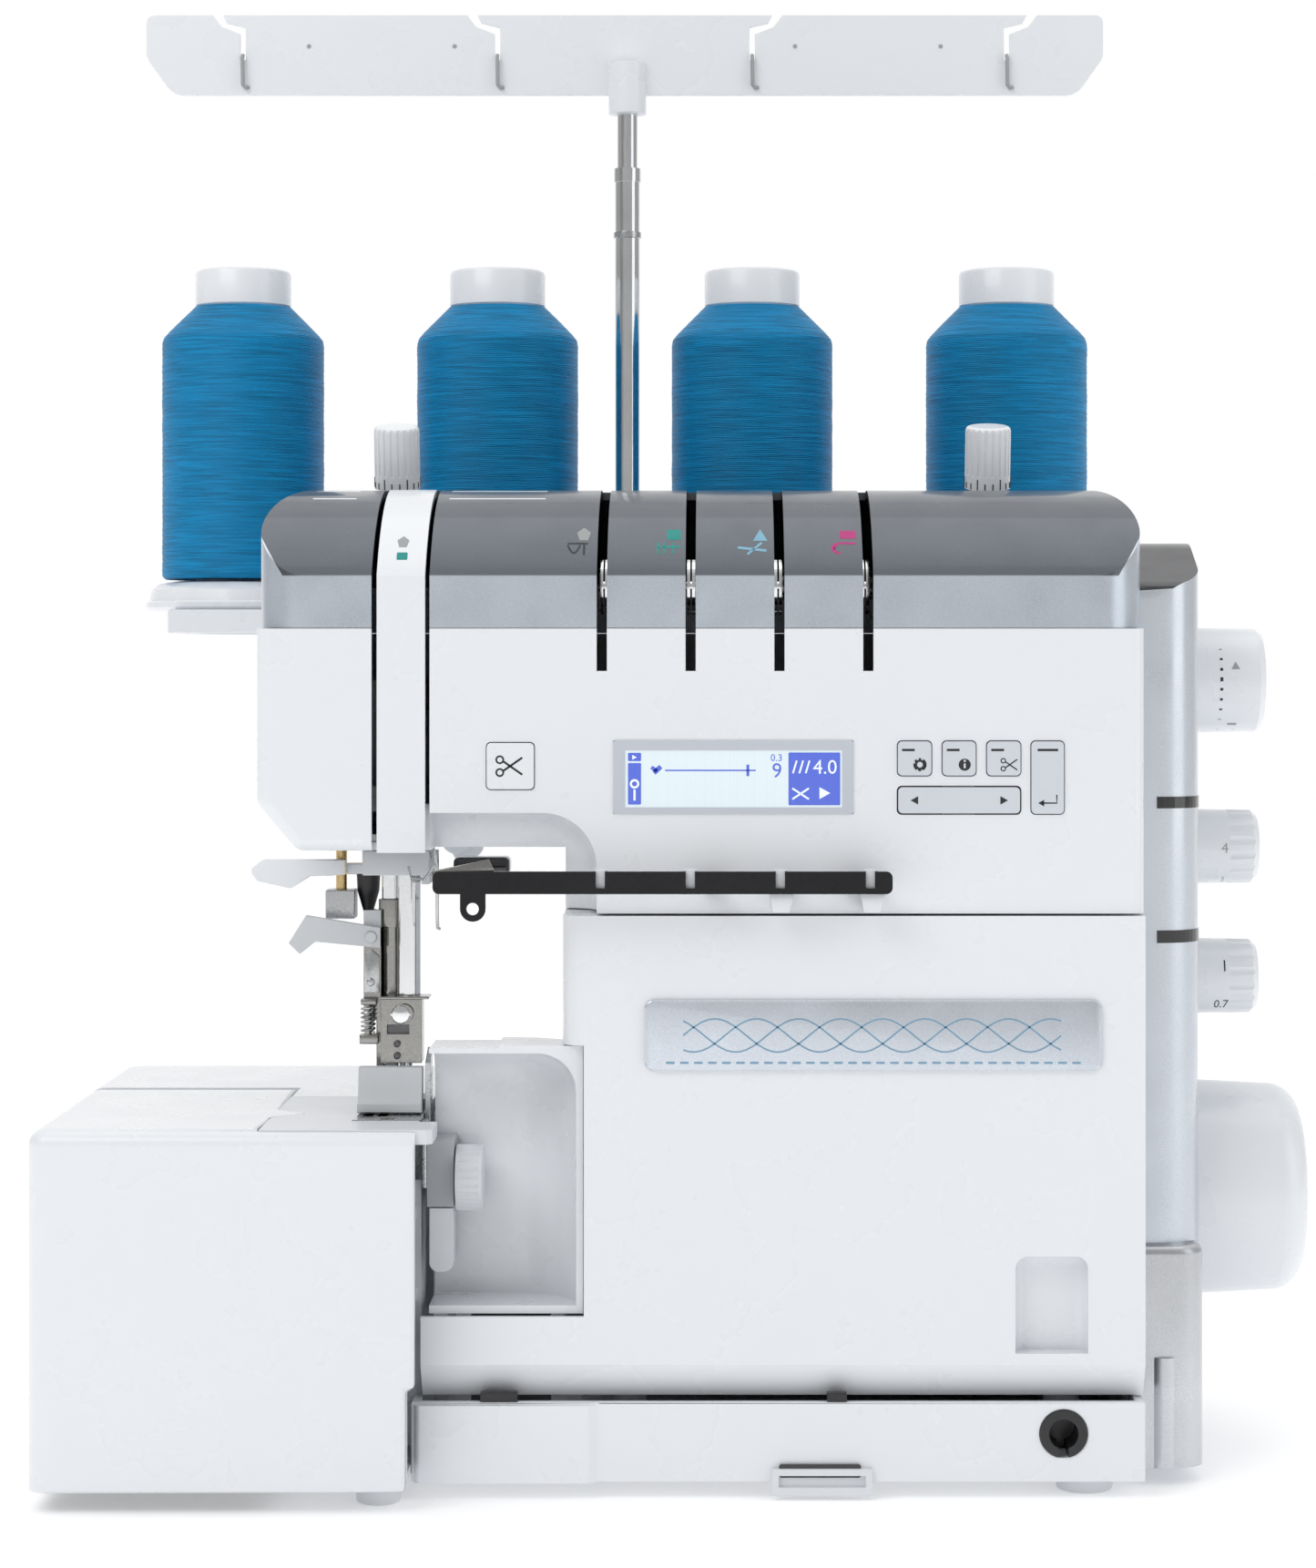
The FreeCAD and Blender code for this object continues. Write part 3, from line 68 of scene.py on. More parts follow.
# ---- camera, light and floor --------------------------------------------------------------
def make_camera():
    """Level camera in front of the machine, with the framing moved by lens shift."""
    camera = bpy.data.objects.new("camera", bpy.data.cameras.new("camera"))
    camera.location = (0.0083, -1.259, 0.260)
    camera.rotation_euler = (math.radians(90), 0, 0)
    camera.data.sensor_width = 36
    camera.data.lens = 83.6
    camera.data.shift_x = -0.0369
    camera.data.shift_y = -0.0743
    camera.data.clip_end = 20
    bpy.context.scene.collection.objects.link(camera)
    bpy.context.scene.camera = camera


def area_light(name, place, target, size, power, tint=(1, 1, 1)):
    data = bpy.data.lights.new(name, "AREA")
    data.shape = "RECTANGLE"
    data.size, data.size_y = size
    data.energy = power
    data.color = tint
    light = bpy.data.objects.new(name, data)
    light.location = place
    light.rotation_euler = (Vector(target) - Vector(place)).to_track_quat("-Z", "Y").to_euler()
    bpy.context.scene.collection.objects.link(light)


def smooth_range(tree, source, numbers):
    """Eased map from a low and high input to a low and high output."""
    made = tree.nodes.new("ShaderNodeMapRange")
    made.interpolation_type = "SMOOTHSTEP"
    for index, number in enumerate(numbers, 1):
        made.inputs[index].default_value = number
    tree.links.new(source, made.inputs[0])
    return made.outputs[0]


def combine(tree, operation, *sources):
    made = tree.nodes.new("ShaderNodeMath")
    made.operation = operation
    for index, source in enumerate(sources):
        tree.links.new(source, made.inputs[index])
    return made.outputs[0]


def make_studio():
    """White surroundings that are dimmer at both sides and in front, lamps and a pale floor."""
    world = bpy.data.worlds.new("studio")
    world.use_nodes = True
    tree = world.node_tree
    split = tree.nodes.new("ShaderNodeSeparateXYZ")
    tree.links.new(tree.nodes.new("ShaderNodeTexCoord").outputs["Generated"], split.inputs[0])
    sideways = combine(tree, "ABSOLUTE", split.outputs["X"])
    dimming = smooth_range(tree, sideways, (0.5, 0.9, 1.0, 0.4))
    facing = smooth_range(tree, split.outputs["Y"], (-0.75, -0.1, 0.45, 1.0))
    strength = combine(tree, "MULTIPLY", dimming, facing)
    background = tree.nodes["Background"]
    background.inputs["Color"].default_value = (1.0, 1.0, 1.0, 1)
    tree.links.new(strength, background.inputs["Strength"])
    bpy.context.scene.world = world
    bpy.context.scene.view_settings.view_transform = "Standard"
    area_light("key", (-0.9, -1.1, 1.3), (0, 0, 0.2), (1.2, 0.8), 8)
    area_light("fill", (1.3, -0.7, 0.7), (0, 0, 0.2), (0.8, 1.2), 3.2, (0.95, 0.98, 1))
    area_light("top", (0, 0.1, 1.6), (0, 0, 0.3), (1.4, 1.0), 3)
    bpy.ops.mesh.primitive_grid_add(x_subdivisions=8, y_subdivisions=8, size=12)
    floor = bpy.context.object
    floor.name = "floor"
    surface = Surface("floor_white", (0.93, 0.93, 0.935), 0.6)
    surface.set("Emission Color", (1, 1, 1, 1))
    surface.set("Emission Strength", 0.26)
    floor.data.materials.append(surface.material)


# ---- materials ----------------------------------------------------------------------------
class Surface:
    """A principled material with helpers for procedural detail in object space."""

    def __init__(self, name, colour, rough, metal=0.0, coat=0.0):
        self.material = bpy.data.materials.new(name)
        self.material.use_nodes = True
        self.tree = self.material.node_tree
        self.shader = self.tree.nodes["Principled BSDF"]
        self.colour = colour
        self.set("Base Color", (*colour, 1))
        self.set("Roughness", rough)
        self.set("Metallic", metal)
        self.set("Coat Weight", coat)
        self.set("Coat Roughness", 0.06)
        self.place = self.node("ShaderNodeTexCoord").outputs["Object"]

    def set(self, socket, value):
        self.shader.inputs[socket].default_value = value

    def node(self, kind, **values):
        made = self.tree.nodes.new(kind)
        for key, value in values.items():
            if key in made.inputs:
                made.inputs[key].default_value = value
            else:
                setattr(made, key, value)
        return made

    def link(self, output, target):
        self.tree.links.new(output, target)

    def noise(self, scale, detail=3, stretch=None):
        made = self.node("ShaderNodeTexNoise", Scale=scale, Detail=detail)
        source = self.place
        if stretch:
            mapping = self.node("ShaderNodeMapping", Scale=stretch)
            self.link(source, mapping.inputs["Vector"])
            source = mapping.outputs["Vector"]
        self.link(source, made.inputs["Vector"])
        return made.outputs["Fac"]

    def remap(self, value, low, high, start=0.3, end=0.7):
        made = self.node("ShaderNodeMapRange")
        for index, number in ((1, start), (2, end), (3, low), (4, high)):
            made.inputs[index].default_value = number
        self.link(value, made.inputs[0])
        return made.outputs[0]

    def vary_rough(self, low, high, scale, stretch=None):
        self.link(self.remap(self.noise(scale, 4, stretch), low, high),
                  self.shader.inputs["Roughness"])

    def blend(self, factor, first, second):
        made = self.node("ShaderNodeMix", data_type="RGBA")
        self.link(factor, made.inputs[0])
        for index, value in ((6, first), (7, second)):
            if isinstance(value, tuple):
                made.inputs[index].default_value = (*value[:3], 1)
            else:
                self.link(value, made.inputs[index])
        return made.outputs[2]

    def vary_colour(self, amount, scale):
        darker = tuple(c * (1 - amount) for c in self.colour)
        mixed = self.blend(self.remap(self.noise(scale, 5), 0, 1), self.colour, darker)
        self.link(mixed, self.shader.inputs["Base Color"])
        return mixed

    def bump(self, height, strength, distance):
        made = self.node("ShaderNodeBump", Strength=strength, Distance=distance)
        self.link(height, made.inputs["Height"])
        self.link(made.outputs["Normal"], self.shader.inputs["Normal"])
        return made

    def maths(self, operation, first, second=0.0):
        made = self.node("ShaderNodeMath", operation=operation)
        self.link(first, made.inputs[0])
        if isinstance(second, float):
            made.inputs[1].default_value = second
        else:
            self.link(second, made.inputs[1])
        return made.outputs[0]

    def axis(self, letter):
        split = self.node("ShaderNodeSeparateXYZ")
        self.link(self.place, split.inputs[0])
        return split.outputs[letter]


def moulded(name, colour, rough=0.28, coat=0.35, grain=900.0):
    """Moulded plastic: slight orange peel, uneven gloss and faint tone changes."""
    made = Surface(name, colour, rough, coat=coat)
    made.vary_rough(rough - 0.05, rough + 0.08, 45)
    made.vary_colour(0.012, 9)
    made.bump(made.noise(grain, 2), 0.03, 0.0001)
    return made.material


def matte(name, colour, rough=0.6):
    made = Surface(name, colour, rough)
    made.vary_rough(rough - 0.08, rough + 0.1, 300)
    made.vary_colour(0.08, 60)
    made.bump(made.noise(2500, 2), 0.25, 0.0001)
    return made.material


def metal(name, colour, rough, stretch=None, streak=0.05, scale=500):
    """Metal with fine machining or polishing marks along one direction."""
    made = Surface(name, colour, rough, metal=1.0)
    made.vary_rough(max(0.02, rough - streak), rough + streak, scale, stretch)
    made.vary_colour(0.12, 40)
    made.bump(made.noise(scale, 3, stretch), 0.04, 0.00005)
    return made.material


def silver_paint(name, colour, dark, edge_low, edge_high, middle=0.0, flat=1.0):
    """Metallic silver paint that changes colour above a height. On the crown the darker colour
    above the crease is painted shade and reflection of the dim surroundings on the upper faces;
    on the side cover the paler colour higher up is painted light. Beyond a distance flat from
    the middle the height of the change rises, as at the ends of the crown."""
    made = Surface(name, colour, 0.32, metal=0.75, coat=0.4)
    offset = made.maths("ABSOLUTE", made.maths("SUBTRACT", made.axis("X"), middle))
    beyond = made.maths("MAXIMUM", made.maths("SUBTRACT", offset, flat), 0.0)
    height = made.maths("SUBTRACT", made.axis("Z"), made.maths("MULTIPLY", beyond, 1.6))
    factor = made.remap(height, 0, 1, edge_low, edge_high)
    flakes = made.remap(made.noise(3500, 2), 0.9, 1.1)
    base = made.blend(factor, colour, dark)
    tinted = made.node("ShaderNodeVectorMath", operation="SCALE")
    made.link(base, tinted.inputs[0])
    made.link(flakes, tinted.inputs["Scale"])
    made.link(tinted.outputs[0], made.shader.inputs["Base Color"])
    made.vary_rough(0.26, 0.4, 60)
    made.bump(made.noise(3000, 2), 0.06, 0.0001)
    return made.material


def thread_material(name, colour):
    """Wound polyester thread: crossing fine windings, silky gloss and slow tone bands."""
    made = Surface(name, colour, 0.48)
    made.set("Specular IOR Level", 0.22)
    mapping = made.node("ShaderNodeMapping", Scale=(60, 60, 1800))
    made.link(made.place, mapping.inputs["Vector"])
    fine = made.node("ShaderNodeTexNoise", Scale=1.0, Detail=2)
    made.link(mapping.outputs[0], fine.inputs["Vector"])
    crossing = made.node("ShaderNodeTexWave", Scale=520, Distortion=3.5, Detail=2)
    crossing.bands_direction = "Z"
    made.link(made.place, crossing.inputs["Vector"])
    height = made.node("ShaderNodeMath", operation="ADD")
    made.link(fine.outputs["Fac"], height.inputs[0])
    made.link(crossing.outputs["Fac"], height.inputs[1])
    made.bump(height.outputs[0], 0.5, 0.0003)
    lighter = tuple(c * 1.35 for c in colour)
    darker = tuple(c * 0.72 for c in colour)
    windings = made.blend(made.remap(fine.outputs["Fac"], 0, 1, 0.35, 0.65), darker, lighter)
    slow = made.remap(made.noise(30, 4, (1, 1, 9)), 0, 0.55)
    made.link(made.blend(slow, windings, colour), made.shader.inputs["Base Color"])
    return made.material


def glowing(name, colour, strength):
    """Lit display area with a faint cell grid."""
    made = Surface(name, colour, 0.25, coat=0.6)
    made.set("Emission Strength", strength)
    grid = made.node("ShaderNodeTexBrick", Scale=1300)
    grid.inputs["Mortar Size"].default_value = 0.03
    grid.inputs["Color1"].default_value = (*colour, 1)
    grid.inputs["Color2"].default_value = (*[c * 0.97 for c in colour], 1)
    grid.inputs["Mortar"].default_value = (*[c * 0.88 for c in colour], 1)
    made.link(made.place, grid.inputs["Vector"])
    made.link(grid.outputs["Color"], made.shader.inputs["Base Color"])
    made.link(grid.outputs["Color"], made.shader.inputs["Emission Color"])
    return made.material


# ---- mesh helpers (all sizes in millimetres) ------------------------------------------------
def link_mesh(name, mesh):
    made = bpy.data.objects.new(name, mesh)
    bpy.context.scene.collection.objects.link(made)
    return made


def shade(piece, angle=35):
    piece.data.polygons.foreach_set("use_smooth", [True] * len(piece.data.polygons))
    piece.data.set_sharp_from_angle(angle=math.radians(angle))


def soften_edges(bm, width, angle, steps=2):
    """Round every edge sharper than angle that has room for it."""
    room = width * 2.2
    sharp = [e for e in bm.edges if len(e.link_faces) == 2
             and e.calc_face_angle(0) > math.radians(angle)
             and min(f.calc_area() / max(f.calc_perimeter(), 1e-9) for f in e.link_faces) > width * 0.3
             and e.calc_length() > room * 0.3]
    bmesh.ops.bevel(bm, geom=sharp, offset=width, segments=steps, profile=0.5, affect="EDGES",
                    clamp_overlap=False)


def finish(node, material, bevel=0.0, paints=(), name=None):
    """A softened, shaded copy of a CAD node that stands for it. Each paint is another
    material and the test, on a face's centre and normal, that it is for."""
    source = frame["nodes"][node]
    mesh = bpy.data.meshes.new(node)
    mesh.from_pydata([v.co for v in source.data.vertices], [],
                     [list(p.vertices) for p in source.data.polygons])
    bm = bmesh.new()
    bm.from_mesh(mesh)
    bmesh.ops.remove_doubles(bm, verts=bm.verts, dist=2e-6)
    bmesh.ops.dissolve_limit(bm, angle_limit=math.radians(0.4), verts=bm.verts, edges=bm.edges,
                             delimit={"NORMAL"})
    if bevel:
        soften_edges(bm, bevel * MM, 38)
    bm.normal_update()
    for face in bm.faces:
        centre = face.calc_center_median() / MM
        for index, (_, test) in enumerate(paints):
            if test(centre, face.normal):
                face.material_index = index + 1
    bm.to_mesh(mesh)
    bm.free()
    piece = link_mesh(name or node + "_skin", mesh)
    mesh.materials.append(material)
    for paint, _ in paints:
        mesh.materials.append(paint)
    shade(piece)
    normals = piece.modifiers.new("normals", "WEIGHTED_NORMAL")
    normals.keep_sharp = True
    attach(piece, source["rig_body"])
    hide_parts(node)
    return piece


def dress(node, material):
    """Give a CAD node that stays visible its material."""
    mesh = frame["nodes"][node].data
    mesh.materials.clear()
    mesh.materials.append(material)


class Sketch:
    """Collects solids in one mesh and turns them into a piece that rides on a body."""

    def __init__(self):
        self.bm = bmesh.new()

    def block(self, x0, x1, y0, y1, z0, z1, round_by=0.0):
        made = bmesh.ops.create_cube(self.bm, size=1)
        verts = made["verts"]
        for v in verts:
            v.co = Vector(((x0 + x1) / 2 + v.co.x * (x1 - x0), (y0 + y1) / 2 + v.co.y * (y1 - y0),
                           (z0 + z1) / 2 + v.co.z * (z1 - z0)))
        if round_by:
            edges = {e for v in verts for e in v.link_edges}
            bmesh.ops.bevel(self.bm, geom=list(edges), offset=round_by, segments=3, profile=0.5,
                            affect="EDGES")

    def turned(self, profile, centre, axis, segments=48):
        """Closed (radius, height) profile turned about an axis through centre."""
        axis = Vector(axis).normalized()
        side = axis.orthogonal().normalized()
        other = axis.cross(side)
        rings = []
        for radius, height in profile:
            base = Vector(centre) + axis * height
            if radius < 1e-6:
                rings.append([self.bm.verts.new(base)])
                continue
            rings.append([self.bm.verts.new(base + (side * math.cos(a) + other * math.sin(a)) * radius)
                          for a in (2 * math.pi * i / segments for i in range(segments))])
        for low, high in zip(rings, rings[1:]):
            for i in range(segments):
                j = (i + 1) % segments
                corners = [low[i % len(low)], low[j % len(low)], high[j % len(high)], high[i % len(high)]]
                unique = list(dict.fromkeys(corners))
                if len(unique) > 2:
                    self.bm.faces.new(unique)
        for ring, flip in ((rings[0], True), (rings[-1], False)):
            if len(ring) > 1:
                self.bm.faces.new(ring[::-1] if flip else ring)

    def rod(self, start, end, radius, segments=24, round_by=0.0):
        start, end = Vector(start), Vector(end)
        length = (end - start).length
        cut = min(round_by, radius * 0.9)
        profile = [(radius - cut, 0), (radius, cut), (radius, length - cut), (radius - cut, length)]
        if not cut:
            profile = [(radius, 0), (radius, length)]
        self.turned(profile, start, end - start, segments)

    def wire(self, points, radius, sides=8):
        """Round wire through points."""
        points = [Vector(p) for p in points]
        last = None
        frame_side = None
        for i, here in enumerate(points):
            run = (points[min(i + 1, len(points) - 1)] - points[max(i - 1, 0)]).normalized()
            if frame_side is None:
                frame_side = run.orthogonal().normalized()
            frame_side = (frame_side - run * frame_side.dot(run)).normalized()
            other = run.cross(frame_side)
            ring = [self.bm.verts.new(here + (frame_side * math.cos(a) + other * math.sin(a)) * radius)
                    for a in (2 * math.pi * k / sides for k in range(sides))]
            if last:
                for k in range(sides):
                    self.bm.faces.new([last[k], last[(k + 1) % sides], ring[(k + 1) % sides], ring[k]])
            else:
                self.bm.faces.new(ring[::-1])
            last = ring
        self.bm.faces.new(last)

    def slab(self, outline, plane, low, high):
        """Flat (a, b) outline given thickness across its plane."""
        def lift(a, b, level):
            return {"xz": (a, level, b), "yz": (level, a, b), "xy": (a, b, level)}[plane]
        bottom = [self.bm.verts.new(lift(a, b, low)) for a, b in outline]
        top = [self.bm.verts.new(lift(a, b, high)) for a, b in outline]
        count = len(outline)
        self.bm.faces.new(bottom[::-1])
        self.bm.faces.new(top)
        for i in range(count):
            j = (i + 1) % count
            self.bm.faces.new([bottom[i], bottom[j], top[j], top[i]])

    def finish(self, name, body, material, slot, bevel=0.0, angle=35):
        bmesh.ops.recalc_face_normals(self.bm, faces=self.bm.faces)
        if bevel:
            soften_edges(self.bm, bevel, 38)
        bmesh.ops.scale(self.bm, vec=(MM, MM, MM), verts=self.bm.verts)
        mesh = bpy.data.meshes.new(name)
        self.bm.to_mesh(mesh)
        self.bm.free()
        mesh.materials.append(material)
        piece = link_mesh(name, mesh)
        shade(piece, angle)
        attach(piece, body)
        return piece


def rounded(x0, x1, z0, z1, radius, steps=5):
    """Rectangle outline with round corners."""
    points = []
    for cx, cz, start in ((x1 - radius, z0 + radius, -90), (x1 - radius, z1 - radius, 0),
                          (x0 + radius, z1 - radius, 90), (x0 + radius, z0 + radius, 180)):
        for i in range(steps + 1):
            angle = math.radians(start + 90 * i / steps)
            points.append((cx + radius * math.cos(angle), cz + radius * math.sin(angle)))
    return points


def ring_outline(x, z, radius, count=24, start=0.0):
    return [(x + radius * math.cos(start + 2 * math.pi * i / count),
             z + radius * math.sin(start + 2 * math.pi * i / count)) for i in range(count)]


def stroke(points, width):
    """Outline of a thin band along a line of (a, b) points."""
    left, right = [], []
    for i, here in enumerate(points):
        before, after = points[max(i - 1, 0)], points[min(i + 1, len(points) - 1)]
        run = Vector((after[0] - before[0], after[1] - before[1])).normalized() * (width / 2)
        left.append((here[0] - run.y, here[1] + run.x))
        right.append((here[0] + run.y, here[1] - run.x))
    return left + right[::-1]


def surface_tree(node):
    bm = bmesh.new()
    bm.from_mesh(frame["nodes"][node].data)
    tree = BVHTree.FromBMesh(bm)
    bm.free()
    return tree


def decal(name, outlines, node, material, look=(0, 1, 0), lift=0.05, cell=1.2):
    """Thin printed shapes laid on a CAD surface. Outlines are (X, Z) points seen along +Y,
    (Y, Z) points seen along -X, or (X, Y) points seen from above."""
    tree = surface_tree(node)
    direction = Vector(look)
    bm = bmesh.new()
    for outline in outlines:
        if direction.y:
            points = [(a, -150 if direction.y > 0 else 150, b) for a, b in outline]
        elif direction.x:
            points = [(210, a, b) for a, b in outline]
        else:
            points = [(a, b, 520) for a, b in outline]
        bm.faces.new([bm.verts.new(p) for p in points])
    bmesh.ops.triangulate(bm, faces=bm.faces)
    for _ in range(3):
        long_edges = [e for e in bm.edges if e.calc_length() > cell]
        if long_edges:
            bmesh.ops.subdivide_edges(bm, edges=long_edges, cuts=1)
            bmesh.ops.triangulate(bm, faces=bm.faces)
    for v in bm.verts:
        hit = tree.ray_cast(v.co * MM, direction)
        if hit[0] is None:
            raise ValueError("decal " + name + " misses " + node)
        v.co = hit[0] - direction * (lift * MM)
    bm.normal_update()
    if sum((f.normal.dot(direction) for f in bm.faces)) > 0:
        bmesh.ops.reverse_faces(bm, faces=bm.faces)
    mesh = bpy.data.meshes.new(name)
    bm.to_mesh(mesh)
    bm.free()
    mesh.materials.append(material)
    piece = link_mesh(name, mesh)
    shade(piece)
    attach(piece, frame["nodes"][node]["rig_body"])
    return piece


def digits(text, x, z, height):
    """Outlines of numbers in the built-in typeface, centred on (x, z)."""
    curve = bpy.data.curves.new("digits", "FONT")
    curve.body = text
    curve.resolution_u = 3
    writer = bpy.data.objects.new("digits", curve)
    bpy.context.scene.collection.objects.link(writer)
    bpy.context.view_layer.update()
    mesh = bpy.data.meshes.new_from_object(writer.evaluated_get(
        bpy.context.evaluated_depsgraph_get()))
    low = [min(v.co[i] for v in mesh.vertices) for i in (0, 1)]
    high = [max(v.co[i] for v in mesh.vertices) for i in (0, 1)]
    scale = height / (high[1] - low[1])
    outlines = [[(x + (mesh.vertices[i].co.x - (low[0] + high[0]) / 2) * scale,
                  z + (mesh.vertices[i].co.y - (low[1] + high[1]) / 2) * scale)
                 for i in face.vertices] for face in mesh.polygons]
    bpy.data.objects.remove(writer)
    bpy.data.meshes.remove(mesh)
    bpy.data.curves.remove(curve)
    return outlines


# ---- finishes -----------------------------------------------------------------------------
WHITE = moulded("white_shell", (0.82, 0.84, 0.87), 0.28)
WARM_WHITE = moulded("white_fittings", (0.74, 0.76, 0.79), 0.36, coat=0.15)
FROSTED = moulded("frosted_block", (0.62, 0.64, 0.66), 0.5, coat=0.0)
GREY = moulded("grey_moulding", (0.42, 0.44, 0.46), 0.42, coat=0.1)
KEY_GREY = moulded("key_grey", (0.64, 0.67, 0.72), 0.4, coat=0.1)
BEZEL = moulded("display_bezel", (0.55, 0.58, 0.64), 0.34, coat=0.2)
BLACK = moulded("black_plastic", (0.012, 0.012, 0.014), 0.35, coat=0.15)
# Near black laid on the inner walls of the thread slots as painted shade.
SLOT_PAINTED_SHADE = matte("slot_painted_shade", (0.008, 0.008, 0.009), 0.7)
RUBBER = matte("rubber", (0.03, 0.03, 0.032), 0.8)
CAST = matte("cast_frame", (0.32, 0.33, 0.34), 0.55)
CHROME = metal("chrome", (0.85, 0.86, 0.87), 0.09, streak=0.04, scale=700)
# Near black chrome for the guide rail: its dark colour is a painted reflection of the dim surroundings.
RAIL_CHROME_PAINTED_DARK = metal("chrome_painted_dark_reflection", (0.035, 0.035, 0.037), 0.1, streak=0.04, scale=500)
TUBE_CHROME = metal("tube_chrome", (0.78, 0.79, 0.8), 0.14, (6, 6, 0.4), 0.05, 250)
STEEL = metal("brushed_steel", (0.55, 0.56, 0.57), 0.26, (1, 0.06, 1), 0.09, 1500)
NICKEL = metal("satin_nickel", (0.36, 0.355, 0.34), 0.2, None, 0.07, 1200)
DARK_STEEL = metal("dark_steel", (0.16, 0.16, 0.17), 0.35, None, 0.08, 900)
BRASS = metal("brass", (0.72, 0.52, 0.25), 0.25, None, 0.07, 900)
# Crown silver: above 288.5 mm the upper faces turn dark grey, which is painted shade and reflection of the
# dim surroundings.
CROWN_SILVER_PAINTED_SHADE = silver_paint("silver_crown_painted_shade", (0.56, 0.61, 0.67), (0.1, 0.112, 0.13), 0.2885, 0.289,
                          0.0035, 0.131)
# Side silver: paler from 20 mm up to 200 mm, painted light falling more strongly on the upper part.
SIDE_SILVER_PAINTED_LIGHT = silver_paint("silver_side", (0.56, 0.6, 0.66), (0.66, 0.7, 0.75), 0.02, 0.2)
# Near black for the upward faces of the side cover's top: painted shade and reflection of the dim
# surroundings.
SIDE_TOP_PAINTED_SHADE = silver_paint("silver_side_top_painted_shade", (0.07, 0.072, 0.076), (0.07, 0.072, 0.076), 0.1, 0.2)
SKIRT_SILVER = silver_paint("silver_skirt", (0.6, 0.615, 0.64), (0.52, 0.53, 0.55), 0.03, 0.07)
THREAD = thread_material("blue_thread", (0.0, 0.2, 0.43))
SCREEN = glowing("screen_glass", (0.66, 0.75, 0.79), 0.3)
LCD_BLUE = glowing("screen_blue", (0.1, 0.16, 0.72), 0.12)
LCD_WHITE = glowing("screen_white", (0.85, 0.92, 1.0), 0.3)
PRINT_DARK = matte("print_dark", (0.02, 0.022, 0.025), 0.5)
PRINT_GREY = matte("print_grey", (0.36, 0.37, 0.38), 0.5)
PRINT_TEAL = matte("print_teal", (0.0, 0.28, 0.25), 0.5)
PRINT_BLUE = matte("print_blue", (0.22, 0.47, 0.62), 0.5)
PRINT_PINK = matte("print_magenta", (0.5, 0.02, 0.2), 0.5)
BOARD_GREEN = matte("board_green", (0.01, 0.09, 0.04), 0.5)

for node in ("main_frame",):
    dress(node, CAST)
for node in ("shaft_bearings", "main_shaft", "cover_rod", "upper_looper", "lower_looper"):
    dress(node, STEEL)
for node in ("motor", "motor_pulley"):
    dress(node, DARK_STEEL)
dress("drive_belt", RUBBER)
dress("circuit_board", BOARD_GREEN)


# ---- moulded covers -----------------------------------------------------------------------
# Inner side walls of the thread slots; they get near black as painted shade.
def slot_wall_shade_faces(centre, normal):
    return abs(normal.x) > 0.9 and -31 < centre.x < 60 and centre.y < -50


finish("base_tray", WHITE, 0.5)
finish("feet", WARM_WHITE, 1.2)
finish("base_fittings", WARM_WHITE, 0.3,
       [(BLACK, lambda c, n: c.x > 109 and c.z < 30 or 30 < c.z < 33.6 and c.y < -117),
        (STEEL, lambda c, n: c.x < -190)])
finish("head_front_cover", WHITE, 0.0,
       [(SLOT_PAINTED_SHADE, lambda c, n: slot_wall_shade_faces(c, n) and c.z > 258)])
finish("rear_cover", WHITE)
# The crown's dark top comes from the painted shade in its material.
finish("top_cover", CROWN_SILVER_PAINTED_SHADE, 0.0,
       [(SLOT_PAINTED_SHADE, lambda c, n: slot_wall_shade_faces(c, n))])
finish("take_up_cover", WHITE, 0.0)
# The side cover gets painted light towards the top and painted shade on its upward top faces.
finish("side_cover", SIDE_SILVER_PAINTED_LIGHT, 0.0,
       [(SKIRT_SILVER, lambda c, n: c.z < 77.5 and c.y < -90),
        (SIDE_TOP_PAINTED_SHADE, lambda c, n: c.z > 285 and n.z > 0.3 and c.y < 30)])
finish("side_sockets", BLACK, 0.2)
finish("power_switch", BLACK, 0.8)
finish("bed_rear_cover", WHITE)
finish("cloth_plate", WHITE, 1.6)
finish("free_arm", WARM_WHITE, 0.3)
finish("scoop_guard", WHITE)
finish("looper_cover", WHITE)
finish("handwheel", WHITE)
finish("spool_tray", WHITE, 0.6)
finish("spool_pins", WHITE)
finish("thread_guide_bar", WHITE, 0.3)

# ---- metal work ---------------------------------------------------------------------------
finish("needle_plate", STEEL, 0.2)
finish("feed_dogs", NICKEL)
finish("upper_knife", STEEL, 0.15)
finish("needle_bar", NICKEL, 0.25,
       [(CHROME, lambda c, n: c.z < 133 or c.z > 155),
        (DARK_STEEL, lambda c, n: n.y > -0.5 and c.y < -90.5 and 142.7 < c.z < 145.3
         or -91.0 < c.y < -90.5 and 142 < c.z < 146)])
finish("presser_bar", NICKEL, 0.25,
       [(BRASS, lambda c, n: c.y < -84.1 and 170 < c.z < 176),
        (FROSTED, lambda c, n: c.y < -81.5 and c.z > 166 and c.x < -99.5),
        (CHROME, lambda c, n: c.z > 186)])
finish("presser_foot", FROSTED, 0.3)
finish("presser_lifter", WARM_WHITE, 0.6)
finish("threader_lever", WHITE, 0.5,
       [(STEEL, lambda c, n: -119.5 < c.x < -109 and c.z < 188),
        (BLACK, lambda c, n: -110 < c.x < -101 and c.z < 192.6 and c.y > -71),
        (BRASS, lambda c, n: -116.2 < c.x < -112.2 and c.z > 188)])
finish("lower_knife", GREY, 0.3,
       [(WARM_WHITE, lambda c, n: c.z < 89.8), (STEEL, lambda c, n: c.x < -82.9)])
